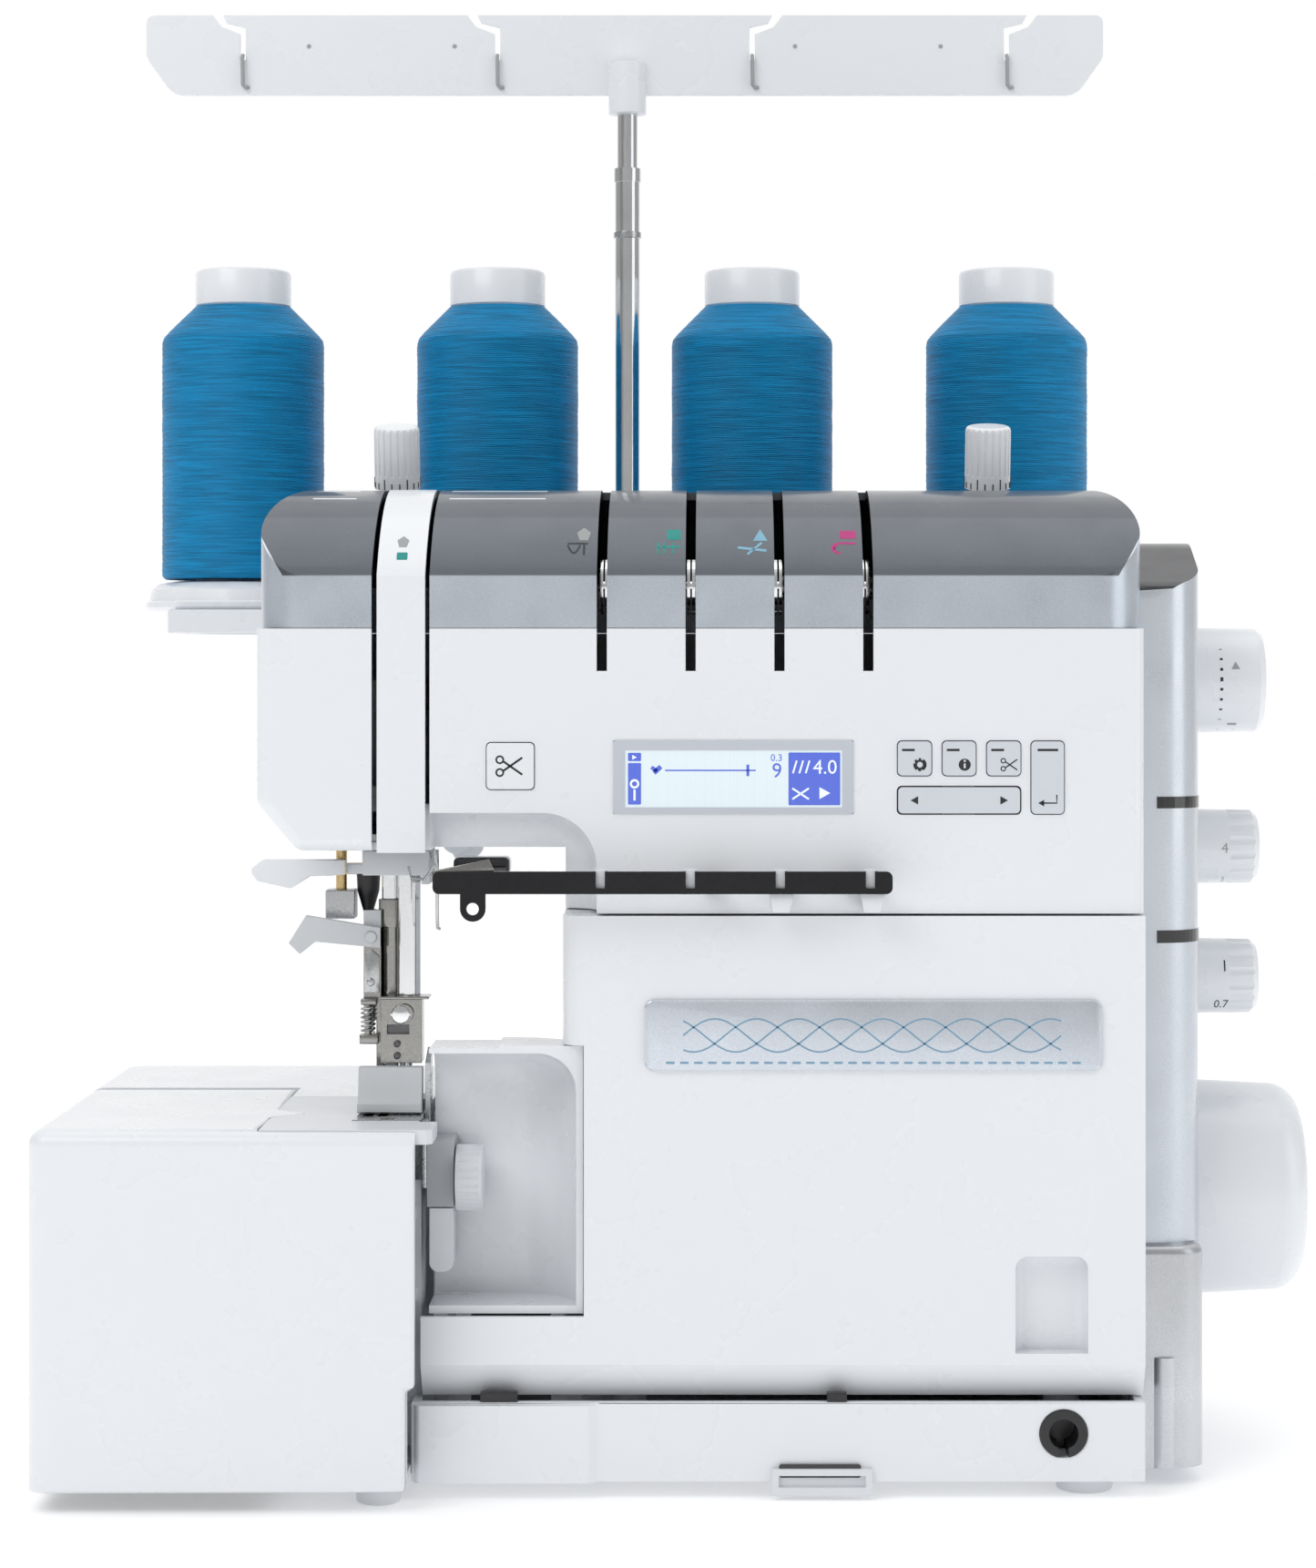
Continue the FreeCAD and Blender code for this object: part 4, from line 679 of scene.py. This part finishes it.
# The rail's near black is painted reflection.
finish("thread_guide_rail", RAIL_CHROME_PAINTED_DARK)
finish("tension_units", CHROME)
finish("stand_lower_tube", TUBE_CHROME,
       paints=[(WARM_WHITE, lambda c, n: c.y < 92)])
finish("stand_middle_tube", TUBE_CHROME, 0.0)
finish("stand_top_tube", TUBE_CHROME, 0.0)

# ---- controls -----------------------------------------------------------------------------
finish("width_dial", WARM_WHITE)
for node in ("pattern_dial", "length_dial", "feed_dial", "pressure_dial", "tension_release_dial"):
    finish(node, WHITE)
for node in ("set_button", "info_button", "auto_button", "enter_button", "arrow_key"):
    finish(node, KEY_GREY)
finish("cutter_button", WHITE)
finish("display_panel", BEZEL, 0.0,
       [(SCREEN, lambda c, n: n.y < -0.9 and c.y > -119.9 and -20.2 < c.x < 47.9 and 216.1 < c.z < 234.2)])


# ---- spools of thread ---------------------------------------------------------------------
def node_box(node):
    """Lowest and highest corners of a CAD node in millimetres."""
    low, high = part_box(node)
    return low / MM, high / MM


def wound_thread(name):
    """Wound body with layered windings, built about the Z axis, foot at zero."""
    height, radius, neck = 101.4, 29.9, 17.9
    shoulder = height - (radius - neck)
    rows, around = 250, 120
    bm = bmesh.new()
    rings = []
    for row in range(rows + 1):
        z = height * row / rows
        base = radius if z < shoulder else radius - (z - shoulder)
        base -= 1.3 * max(0.0, 1 - z / 1.8) ** 2
        edge = max(0.0, 1 - abs(z - shoulder) / 3.0)
        base -= 0.45 * edge * edge
        ring = []
        for i in range(around):
            angle = 2 * math.pi * i / around
            rising = math.sin(angle * 3 + z * 2.9)
            falling = math.sin(angle * 3 - z * 2.9 + 1.0)
            layer = noise.noise(Vector((math.cos(angle) * 1.4, math.sin(angle) * 1.4, z * 0.22)))
            lift = 0.05 * max(rising, falling) + 0.12 * layer + 0.04 * math.sin(z * 9.0)
            ring.append(bm.verts.new(((base + lift) * math.cos(angle), (base + lift) * math.sin(angle), z)))
        rings.append(ring)
    for low, high in zip(rings, rings[1:]):
        for i in range(around):
            j = (i + 1) % around
            bm.faces.new([low[i], low[j], high[j], high[i]])
    bm.faces.new(rings[0][::-1])
    bm.faces.new(rings[-1])
    bmesh.ops.scale(bm, vec=(MM, MM, MM), verts=bm.verts)
    mesh = bpy.data.meshes.new(name)
    bm.to_mesh(mesh)
    bm.free()
    mesh.materials.append(THREAD)
    return mesh


def place_spools():
    thread_mesh = wound_thread("wound_thread")
    for index in range(4):
        node = "spool_%d" % (index + 1)
        low, high = node_box(node)
        x, y = (low.x + high.x) / 2, (low.y + high.y) / 2
        bottom, top = low.z, high.z
        core = Sketch()
        core.turned([(5.9, 0), (17.2, 0), (17.7, 0.5), (17.7, 1.0), (17.0, 1.4),
                     (17.0, top - bottom - 13.5),
                     (17.7, top - bottom - 13), (17.7, top - bottom - 1.6), (17.2, top - bottom - 0.5),
                     (16.2, top - bottom - 0.02), (13.5, top - bottom), (12.6, top - bottom - 0.9),
                     (12.2, top - bottom - 6.0), (5.9, top - bottom - 6.0), (5.9, 0)],
                    (x, y, bottom), (0, 0, 1), 72)
        core_piece = core.finish(node + "_core", node, WHITE, "thread")
        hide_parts(node)
        wound = link_mesh(node + "_thread", thread_mesh)
        wound.location = Vector((x, y, bottom + 0.4)) * MM
        wound.rotation_euler = (0, 0, math.radians(90) * index)
        shade(wound, 80)
        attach(wound, node)


place_spools()


# ---- display and keys ---------------------------------------------------------------------
def arrow(x, z, size, side):
    return [(x - side * size * 0.5, z - size * 0.55), (x + side * size * 0.5, z),
            (x - side * size * 0.5, z + size * 0.55)]


def gear_outline(x, z, radius, teeth=8):
    points = []
    for i in range(teeth):
        middle = 2 * math.pi * i / teeth
        for turn, reach in ((-0.3, 0.74), (-0.2, 1.0), (0.2, 1.0), (0.3, 0.74)):
            angle = middle + turn * 2 * math.pi / teeth * 1.2
            points.append((x + radius * reach * math.cos(angle), z + radius * reach * math.sin(angle)))
    return points


def band_ring(x, z, outer, inner, count=20):
    """Ring drawn as a row of four-sided pieces."""
    outside, inside = ring_outline(x, z, outer, count), ring_outline(x, z, inner, count)
    return [[outside[i], outside[(i + 1) % count], inside[(i + 1) % count], inside[i]]
            for i in range(count)]


def scissors(x, z, size):
    shapes = []
    for side in (-1, 1):
        shapes.append(stroke([(x - size * 0.25, z + side * size * 0.2),
                              (x + size * 0.55, z - side * size * 0.36)], size * 0.09))
        shapes += band_ring(x - size * 0.4, z + side * size * 0.27, size * 0.19, size * 0.11, 14)
    return shapes


def key_face(node):
    low, high = node_box(node)
    return low.x + 0.8, high.x - 0.8, low.z, high.z


def draw_keys():
    """Plain pictograms; the worded captions are left as short bars."""
    marks = {"set_button": [], "info_button": [], "auto_button": [], "enter_button": [],
             "arrow_key": [], "cutter_button": []}
    for node, icon in (("set_button", "gear"), ("info_button", "dot"), ("auto_button", "cut")):
        x0, x1, z0, z1 = key_face(node)
        marks[node].append(stroke([(x0 + 1.6, z1 - 2.7), (x0 + 5.6, z1 - 2.7)], 0.75))
        x, z = x0 + 7.2, z0 + 3.4
        if icon == "gear":
            marks[node] += [gear_outline(x, z, 2.1)]
        elif icon == "dot":
            marks[node] += [ring_outline(x, z, 1.9)]
        else:
            marks[node] += scissors(x, z, 4.6)
    x0, x1, z0, z1 = key_face("enter_button")
    marks["enter_button"] += [stroke([(x0 + 2.2, z1 - 2.7), (x1 - 2.2, z1 - 2.7)], 0.75),
                              stroke([(x1 - 2.6, z0 + 6), (x1 - 2.6, z0 + 3.4),
                                      (x0 + 3.6, z0 + 3.4)], 0.45),
                              arrow(x0 + 3.3, z0 + 3.4, 1.9, -1)]
    low, high = node_box("arrow_key")
    middle = (low.z + high.z) / 2
    marks["arrow_key"] += [arrow(low.x + 5, middle, 2.4, -1), arrow(high.x - 5, middle, 2.4, 1)]
    x0, x1, z0, z1 = key_face("cutter_button")
    marks["cutter_button"] += scissors((x0 + x1) / 2 - 0.3, (z0 + z1) / 2, 7.4)
    for node, shapes in marks.items():
        decal(node + "_mark", shapes, node, PRINT_DARK, lift=0.03, cell=4)
    x0, x1, z0, z1 = key_face("set_button")
    decal("set_button_hub", [ring_outline(x0 + 7.2, z0 + 3.4, 0.9, 14)], "set_button", KEY_GREY,
          lift=0.06, cell=4)
    x0, x1, z0, z1 = key_face("info_button")
    decal("info_button_stem", [stroke([(x0 + 7.2, z0 + 2.3), (x0 + 7.2, z0 + 3.8)], 0.6),
                               ring_outline(x0 + 7.2, z0 + 4.6, 0.38, 8)],
          "info_button", KEY_GREY, lift=0.06, cell=4)


def draw_screen():
    """Mode flag, slider and read-outs on the lit window."""
    low, high = node_box("display_panel")
    x0, x1 = low.x + 3.7, high.x - 3.5
    z0, z1 = low.z + 2.0, high.z - 3.1
    blue = [rounded(x0 + 0.9, x0 + 5.0, z1 - 3.4, z1 - 0.8, 0.3, 2),
            rounded(x0 + 0.9, x0 + 5.0, z0 + 0.9, z1 - 4.0, 0.3, 2),
            rounded(x1 - 16.8, x1 - 0.6, z0 + 0.7, z1 - 0.7, 0.3, 2),
            stroke([(x0 + 12.5, z0 + 11.6), (x1 - 27, z0 + 11.6)], 0.45),
            stroke([(x1 - 29.5, z0 + 9.8), (x1 - 29.5, z0 + 13.4)], 0.9),
            stroke([(x0 + 9, z0 + 10.8), (x0 + 11.2, z0 + 12.8)], 1.5),
            stroke([(x0 + 8.2, z0 + 12.6), (x0 + 10, z0 + 11.4)], 1.2)]
    blue += digits("9", x1 - 20.4, z0 + 11.6, 4.6)
    blue += digits("0.3", x1 - 20.6, z1 - 2.3, 2.2)
    decal("screen_marks", blue, "display_panel", LCD_BLUE, lift=0.05, cell=6)
    white = digits("4.0", x1 - 5.4, z1 - 5.2, 4.4)
    white += [arrow(x1 - 5.4, z0 + 4.5, 3.4, 1)]
    white += [stroke([(x1 - 15.4 + 2 * i, z1 - 7.2), (x1 - 14.2 + 2 * i, z1 - 3.2)], 0.55)
              for i in range(3)]
    white += [stroke([(x1 - 15.6, z0 + 2.6), (x1 - 10.4, z0 + 6.0)], 0.6),
              stroke([(x1 - 15.6, z0 + 6.0), (x1 - 10.4, z0 + 2.6)], 0.6)]
    white += [arrow(x0 + 2.95, z1 - 2.2, 1.4, 1)]
    white += band_ring(x0 + 2.95, z0 + 7.4, 1.5, 0.8, 16)
    white += [stroke([(x0 + 2.95, z0 + 2.2), (x0 + 2.95, z0 + 5.6)], 0.7)]
    decal("screen_lights", white, "display_panel", LCD_WHITE, lift=0.09, cell=6)


# ---- printed marks on the covers ----------------------------------------------------------
def polygon(x, z, radius, sides, start=90):
    return ring_outline(x, z, radius, sides, math.radians(start))


def slot_marks():
    """One shape and one thread symbol beside every slot, and two on the take-up strip."""
    slots = [-27.4 + 27.8 * i for i in range(4)]
    level = 302.0
    shapes = ([polygon(slots[0] - 6.0, level, 2.3, 5)],
              [rounded(slots[1] - 7.6, slots[1] - 3.2, level - 1.7, level + 1.7, 0.2, 1)],
              [[(slots[2] - 8.2, level - 2.0), (slots[2] - 3.6, level - 2.0),
                (slots[2] - 5.9, level + 1.8)]],
              [rounded(slots[3] - 8.6, slots[3] - 3.4, level - 1.3, level + 1.3, 0.2, 1)])
    inks = (PRINT_GREY, PRINT_TEAL, PRINT_BLUE, PRINT_PINK)
    for index, (shape, ink) in enumerate(zip(shapes, inks)):
        decal("slot_mark_%d" % (index + 1), shape, "top_cover", ink, cell=1.0)
    left = slots[0] - 8
    loops = ([stroke([(left - 3 + 0.5 * i, level - 3.4 - 2.6 * math.sin(math.pi * i / 8))
                      for i in range(9)], 0.6),
              stroke([(left - 3, level - 2.9), (left + 3.4, level - 2.9)], 0.6),
              stroke([(left + 2.2, level - 3), (left + 2.2, level - 6.6)], 0.7)],
             [stroke([(slots[1] - 10.4, level - 2.4), (slots[1] - 10.4, level - 6.4)], 0.6),
              stroke([(slots[1] - 8.4, level - 2.4), (slots[1] - 8.4, level - 6.4)], 0.6),
              stroke([(slots[1] - 10.4, level - 4), (slots[1] - 3.4, level - 4)], 0.7),
              stroke([(slots[1] - 5.6, level - 2.6), (slots[1] - 5.6, level - 6.2)], 0.6)],
             [stroke([(slots[2] - 13, level - 4.2), (slots[2] - 4, level - 5.2)], 0.8),
              stroke([(slots[2] - 10, level - 6.4), (slots[2] - 5.4, level - 2.6)], 0.7)],
             [stroke([(slots[3] - 8.5 + 2.6 * math.cos(math.radians(a)),
                       level - 4.4 + 1.6 * math.sin(math.radians(a))) for a in range(90, 271, 20)], 0.7),
              stroke([(slots[3] - 8.5, level - 2.8), (slots[3] - 3.6, level - 2.8)], 0.7)])
    for index, (marks, ink) in enumerate(zip(loops, (PRINT_DARK, PRINT_TEAL, PRINT_BLUE, PRINT_PINK))):
        decal("thread_symbol_%d" % (index + 1), marks, "top_cover", ink, cell=1.0)
    strip = node_box("take_up_cover")
    middle = (strip[0].x + strip[1].x) / 2
    decal("strip_mark_grey", [polygon(middle, 299.5, 2.0, 5)], "take_up_cover", PRINT_GREY,
          cell=1.0)
    decal("strip_mark_teal", [rounded(middle - 1.7, middle + 1.7, 293.8, 296.2, 0.2, 1)],
          "take_up_cover", PRINT_TEAL, cell=1.0)


def dial_marks():
    """Index line and settings on the three side dials, seen from the front."""
    def number(node, text, x, z, height, ink=PRINT_GREY, name="_number"):
        decal(node + name, digits(text, x, z, height), node, ink, lift=0.05, cell=0.8)
    low, high = node_box("pattern_dial")
    middle = (low.z + high.z) / 2
    decal("pattern_dial_index", [rounded(176.0, 177.0, middle - 16.5, middle + 10.5, 0.3, 2)],
          "pattern_dial", PRINT_DARK, cell=1.5)
    decal("pattern_dial_symbols",
          [polygon(181.2, middle + 4.6, 1.7, 3),
           stroke([(179.4, middle - 14.6), (182.4, middle - 14.6)], 0.8)],
          "pattern_dial", PRINT_GREY, cell=0.8)
    number("length_dial", "4", 178.2, 199.8, 3.4)
    number("length_dial", "3", 178.2, 188.9, 1.8, name="_next")
    number("feed_dial", "1", 178.2, 160.4, 3.6, PRINT_DARK)
    number("feed_dial", "0.7", 177.4, 147.4, 2.8, PRINT_DARK, "_next")


draw_keys()
draw_screen()
slot_marks()
dial_marks()


# ---- badge, windows and fittings on the covers --------------------------------------------
def badge():
    """Blank domed name plate with a plain stitch pattern."""
    low, high = node_box("looper_cover")
    front = low.y
    x0, x1, z0, z1 = high.x - 156.5, high.x - 13.7, 134.0, 156.2
    plate = Sketch()
    plate.slab(rounded(x0, x1, z0, z1, 2.6, 6), "xz", front - 1.1, front + 0.05)
    top = [v for v in plate.bm.verts if v.co.y < front - 1]
    rim = [e for e in plate.bm.edges if all(v in top for v in e.verts)]
    bmesh.ops.bevel(plate.bm, geom=rim, offset=0.8, segments=4, profile=0.5, affect="EDGES")
    plate.finish("badge_plate", "looper_cover", BADGE, "grey_plastic")
    middle = (z0 + z1) / 2
    wave = [[(x0 + 12 + 118 * i / 60, middle + 5.2 * math.sin(2 * math.pi * i / 20 + shift))
             for i in range(61)] for shift in (0.0, 2.1, 4.2)]
    motif = Sketch()
    for line in wave:
        for a, b in zip(line, line[1:]):
            motif.slab(stroke([a, b], 0.5), "xz", front - 1.16, front - 1.05)
    motif.finish("badge_stitch_pattern", "looper_cover", BADGE_INK, "grey_plastic")
    seam = Sketch()
    for i in range(30):
        x = x0 + 8 + i * (x1 - x0 - 16) / 29
        seam.slab(rounded(x - 1.4, x + 1.4, z0 + 2.2, z0 + 2.9, 0.3, 2), "xz", front - 1.16, front - 1.05)
    seam.finish("badge_stitch_row", "looper_cover", BADGE_INK, "grey_plastic")


def index_windows():
    """Black index bands that wrap around the front corner of the side cover."""
    low, high = node_box("side_cover")
    front, outer, corner = -96.0, high.x, 15.0
    for name, z0, z1 in (("upper", 215.0, 218.7), ("lower", 172.0, 176.0)):
        path = [(low.x + 6.5, front)]
        for i in range(13):
            angle = math.radians(-90 + 90 * i / 12)
            path.append((outer - corner + corner * math.cos(angle),
                         front + corner + corner * math.sin(angle)))
        path.append((outer, -60.0))
        band = Sketch()
        for a, b in zip(path, path[1:]):
            run = Vector((b[0] - a[0], b[1] - a[1])).normalized()
            out = Vector((run.y, -run.x)) * 0.35
            band.slab([a, b, (b[0] + out.x, b[1] + out.y), (a[0] + out.x, a[1] + out.y)], "xy", z0, z1)
        bmesh.ops.remove_doubles(band.bm, verts=band.bm.verts, dist=0.06)
        band.finish("index_window_" + name, "frame", GLOSS_BLACK, "black_plastic")


def rail_fittings():
    """White arms that carry the guide rail, and the small hooks at its notches."""
    low = node_box("thread_guide_rail")[0]
    front = node_box("head_front_cover")[0].y
    arms = Sketch()
    for x in (28.8, 57.0):
        arms.slab([(x - 4.2, 191.0), (x + 4.2, 191.0), (x + 2.4, 184.2), (x - 3.0, 184.2)], "xz",
                  low.y + 1.6, front + 0.1)
    arms.finish("rail_arms", "frame", WARM_WHITE, "white_plastic", 0.6)
    hooks = Sketch()
    for i in range(4):
        x = -27.4 + 27.8 * i
        hooks.block(x - 2.0, x + 2.4, low.y + 1.7, low.y + 2.9, 189.6, 197.6, 0.4)
    hooks.finish("rail_thread_hooks", "frame", WARM_WHITE, "white_plastic")
    back = Sketch()
    back.slab([(-79.6, 197.0), (-62.0, 200.6), (-60.0, 196.4), (-79.6, 193.6)], "xz",
              low.y + 2.6, low.y + 3.8)
    back.finish("rail_back_plate", "frame", NICKEL, "chrome", 0.2)


def side_peg():
    """Small white peg on the left end of the head."""
    peg = Sketch()
    peg.turned([(0.0, -8.0), (2.4, -8.0), (2.4, 0.0), (2.8, 0.8), (2.8, 3.8), (2.1, 4.8),
                (2.1, 5.4), (3.0, 6.0), (3.1, 6.6), (2.4, 7.1), (0.0, 7.3)],
               (-135.7, -40.0, 224.0), (-1, 0, 0), 32)
    peg.finish("side_peg", "frame", WHITE, "white_plastic")


BADGE = silver_paint("badge_silver", (0.62, 0.66, 0.72), (0.62, 0.66, 0.72), 0.1, 0.2)
BADGE_INK = matte("badge_ink", (0.2, 0.36, 0.5), 0.4)
GLOSS_BLACK = moulded("gloss_black", (0.01, 0.01, 0.011), 0.12, coat=0.6)
badge()
index_windows()
rail_fittings()
side_peg()


# ---- needle and presser details -----------------------------------------------------------
def needle_area():
    """Small fittings round the two bars, the lamp and the wires that guide the thread."""
    spring = Sketch()
    turns = [(-103.9 + 2.1 * math.cos(a), -84.2 + 2.1 * math.sin(a), 142.2 + 8.4 * a / (2 * math.pi * 6))
             for a in (2 * math.pi * i / 20 for i in range(121))]
    spring.wire(turns, 0.42, 7)
    spring.finish("presser_coil_spring", "presser_bar", STEEL, "steel")
    pin = Sketch()
    pin.rod((-103.9, -84.2, 139.6), (-103.9, -84.2, 152.4), 1.15, 20, 0.3)
    pin.block(-106.6, -100.4, -85.6, -81.4, 138.6, 141.8, 0.4)
    pin.block(-106.2, -101.0, -85.6, -81.4, 151.2, 153.2, 0.4)
    pin.finish("presser_spring_pin", "presser_bar", NICKEL, "steel")
    plate = Sketch()
    plate.slab([(-105.2, 155.0), (-100.4, 155.0), (-100.4, 166.6), (-103.0, 169.0), (-105.2, 167.2)],
               "xz", -82.6, -81.5)
    plate.rod((-103.2, -83.1, 158.4), (-103.2, -82.5, 158.4), 1.3, 20, 0.2)
    plate.finish("presser_side_plate", "presser_bar", STEEL, "steel", 0.15)
    screw = Sketch()
    screw.turned([(0.0, 0.0), (2.9, 0.0), (3.05, 0.25), (3.05, 1.0), (2.7, 1.5), (1.0, 1.7), (0.0, 1.7)],
                 (-92.6, -92.0, 148.9), (0, -1, 0), 36)
    screw.block(-95.8, -89.4, -93.75, -93.35, 148.55, 149.2)
    screw.finish("needle_clamp_screw", "needle_bar", CHROME, "steel", angle=30)
    sockets = Sketch()
    for z in (139.4, 135.6):
        sockets.turned([(1.15, 0.0), (1.15, 0.35), (0.85, 0.45), (0.7, 0.2), (0.0, 0.2)],
                       (-93.8, -92.5, z), (0, -1, 0), 24)
    sockets.finish("needle_set_screws", "needle_bar", DARK_STEEL, "steel")
    block = Sketch()
    block.block(-104.6, -83.2, -96.6, -93.8, 193.6, 201.6, 0.5)
    block.block(-104.6, -101.2, -93.9, -66.0, 195.2, 201.6, 0.4)
    block.block(-86.0, -83.2, -93.9, -72.0, 190.6, 201.6, 0.4)
    block.finish("bar_guide_block", "frame", FROSTED, "grey_plastic")
    clips = Sketch()
    clips.wire([(-80.6, -97.4, 202.0), (-80.6, -97.4, 180.6), (-80.6, -95.4, 176.8), (-80.2, -93.2, 176.4)],
               0.55)
    clips.wire([(-82.6, -99.2, 201.4), (-81.2, -101.2, 197.0), (-84.4, -102.0, 192.6),
                (-88.6, -101.6, 193.4), (-89.4, -101.0, 196.8)], 0.5)
    clips.finish("thread_hook_wires", "frame", STEEL, "steel")
    lamp = Sketch()
    lamp.block(-76.0, -58.0, -90.6, -76.0, 193.2, 199.0, 1.6)
    lamp.finish("lamp_housing", "frame", GLOSS_BLACK, "black_plastic")
    lens = Sketch()
    lens.turned([(0.0, 0.0), (5.0, 0.0), (5.6, 0.5), (5.6, 1.4), (0.0, 1.4)], (-67.0, -83.4, 193.4),
                (0, 0, -1), 32)
    lens.finish("lamp_lens", "frame", FROSTED, "grey_plastic")


def bed_marks():
    """Two screws in the needle plate and four seam guide marks on it."""
    screws = Sketch()
    top = node_box("needle_plate")[1].z
    for x, y in ((-95.2, -112.2), (-95.2, -57.6)):
        screws.turned([(0.0, 0.0), (2.3, 0.0), (2.3, 0.25), (1.9, 0.45), (0.0, 0.45)], (x, y, top),
                      (0, 0, 1), 28)
        screws.block(x - 1.9, x + 1.9, y - 0.25, y + 0.25, top + 0.42, top + 0.48)
    screws.finish("needle_plate_screws", "frame", NICKEL, "steel")
    marks = [[(-104, y), (-99.5, y), (-99.5, y + 0.35), (-104, y + 0.35)]
             for y in (-110.5, -108.7, -62.0, -60.2)]
    decal("needle_plate_marks", marks, "needle_plate", PRINT_DARK, look=(0, 0, -1), lift=0.03,
          cell=5)


needle_area()
bed_marks()


# ---- thread stand, dials and back ---------------------------------------------------------
def stand_details():
    low, high = node_box("thread_guide_bar")
    middle = (low.y + high.y) / 2
    hooks = Sketch()
    dots = Sketch()
    for i in range(4):
        x = -168.0 + 94.9 * i
        hooks.wire([(x, middle - 1.5, low.z + 21.8), (x, middle - 2.9, low.z + 20.8),
                    (x + 0.1, middle - 3.2, low.z + 16.0), (x + 0.2, middle - 3.0, low.z + 10.6),
                    (x + 1.3, middle - 2.6, low.z + 9.4), (x + 2.0, middle - 1.6, low.z + 9.8)], 0.75, 10)
        side = -1 if i < 2 else 1
        dots.turned([(0.0, 0.0), (0.8, 0.0), (0.8, 0.25), (0.0, 0.35)],
                    (x - side * 24.6 * (1 if i in (0, 3) else -0.65), middle - 1.2, low.z + 25.2),
                    (0, -1, 0), 16)
    hooks.finish("guide_bar_hooks", "guide_bar", PRINT_GREY, "grey_plastic")
    dots.finish("guide_bar_pins", "guide_bar", PRINT_GREY, "grey_plastic")
    low, high = node_box("stand_middle_tube")
    x, y = (low.x + high.x) / 2, (low.y + high.y) / 2
    collars = Sketch()
    collars.turned([(4.65, 0.0), (5.15, 0.2), (5.15, 2.2), (4.65, 2.4)], (x, y, high.z - 26.0),
                   (0, 0, 1), 48)
    collars.finish("stand_collar", "stand_middle", STEEL, "chrome")


def dial_scales():
    """Ring of graduation marks around both top dials."""
    axis = Vector((0, -math.sin(math.radians(12)), math.cos(math.radians(12))))
    side = axis.cross(Vector((1, 0, 0)))
    for node, x in (("pressure_dial", -98.6), ("tension_release_dial", 99.5)):
        foot = Vector((x, -34.5, 317.4))
        ticks = Sketch()
        for i in range(18):
            angle = math.radians(20 * i)
            out = Vector((1, 0, 0)) * math.cos(angle) + side * math.sin(angle)
            reach = 3.4 if i % 3 == 0 else 2.0
            start = foot + axis * 3.4 + out * 7.62
            ticks.rod(start, start + axis * reach, 0.22, 6)
        ticks.finish(node + "_ticks", node, PRINT_DARK, "grey_plastic")


REAR_SCREWS = ((-28.0, 44.0), (131.0, 44.0), (-28.0, 168.0), (131.0, 168.0), (131.0, 258.0),
               (-122.0, 258.0))


def back_details():
    """Cover screws with caps, and a plain rating plate on the rear."""
    back = node_box("rear_cover")[1].y
    screws = Sketch()
    for x, z in REAR_SCREWS:
        screws.turned([(0.0, -0.1), (4.2, 0.0), (4.2, 0.5), (3.6, 0.9), (2.2, 0.9), (2.0, 0.4), (0.0, 0.4)],
                      (x, back, z), (0, 1, 0), 32)
    screws.finish("rear_cover_screws", "frame", WARM_WHITE, "white_plastic")
    heads = Sketch()
    for x, z in REAR_SCREWS:
        heads.block(x - 1.6, x + 1.6, back + 0.3, back + 0.62, z - 0.35, z + 0.35)
        heads.block(x - 0.35, x + 0.35, back + 0.3, back + 0.62, z - 1.6, z + 1.6)
    heads.finish("rear_screw_crosses", "frame", DARK_STEEL, "steel")
    plate = Sketch()
    plate.slab(rounded(60.0, 112.0, 110.0, 138.0, 1.5), "xz", back - 0.02, back + 0.25)
    plate.finish("rating_plate", "frame", BADGE, "grey_plastic", 0.1)


stand_details()
dial_scales()
back_details()


def bed_fittings():
    """Gloss black sheet as painted shade in the slot of the tray hook, the inner rib beside the cloth plate
    and its small catches.
    """
    # Painted shade: a gloss black sheet stands for the shadowed slot of the tray hook.
    slot = Sketch()
    slot.slab(rounded(28.0, 53.6, 7.0, 11.2, 0.8, 4), "xz", -122.1, -121.5)
    slot.finish("tray_hook_slot_painted_shade", "frame", GLOSS_BLACK, "black_plastic")
    rib = Sketch()
    rib.slab([(-91.4, -108.0), (-84.8, -108.0), (-84.8, -60.0), (-85.8, -60.0), (-85.8, -106.8),
              (-91.4, -106.8)], "xy", 14.0, 98.0)
    for z in (30.0, 62.0, 88.0):
        rib.block(-90.6, -86.0, -109.0, -107.9, z - 2.2, z + 2.2, 0.4)
    rib.finish("free_arm_rib", "frame", WARM_WHITE, "white_plastic")
    rivets = Sketch()
    for z in (46.0, 76.0):
        rivets.turned([(0.0, 0.0), (1.5, 0.0), (1.5, 0.5), (1.0, 0.9), (0.0, 0.9)], (-88.3, -108.0, z),
                      (0, -1, 0), 24)
    rivets.finish("free_arm_rivets", "frame", DARK_STEEL, "steel")


def sight_window():
    """Pale outlines of the two settings windows along the ridge of the crown."""
    rims = []
    for a, b in ((-121.5, -107.5), (-77.5, -46.6)):
        rims += [stroke(line, 0.45) for line in ([(a, 314.4), (a, 317.4)], [(b, 314.4), (b, 317.4)],
                                                 [(a, 317.4), (b, 317.4)], [(a, 314.4), (b, 314.4)])]
    decal("sight_window_rim", rims, "top_cover", WARM_WHITE, lift=0.1, cell=4)


bed_fittings()
sight_window()


# ---- scene --------------------------------------------------------------------------------
make_camera()
make_studio()
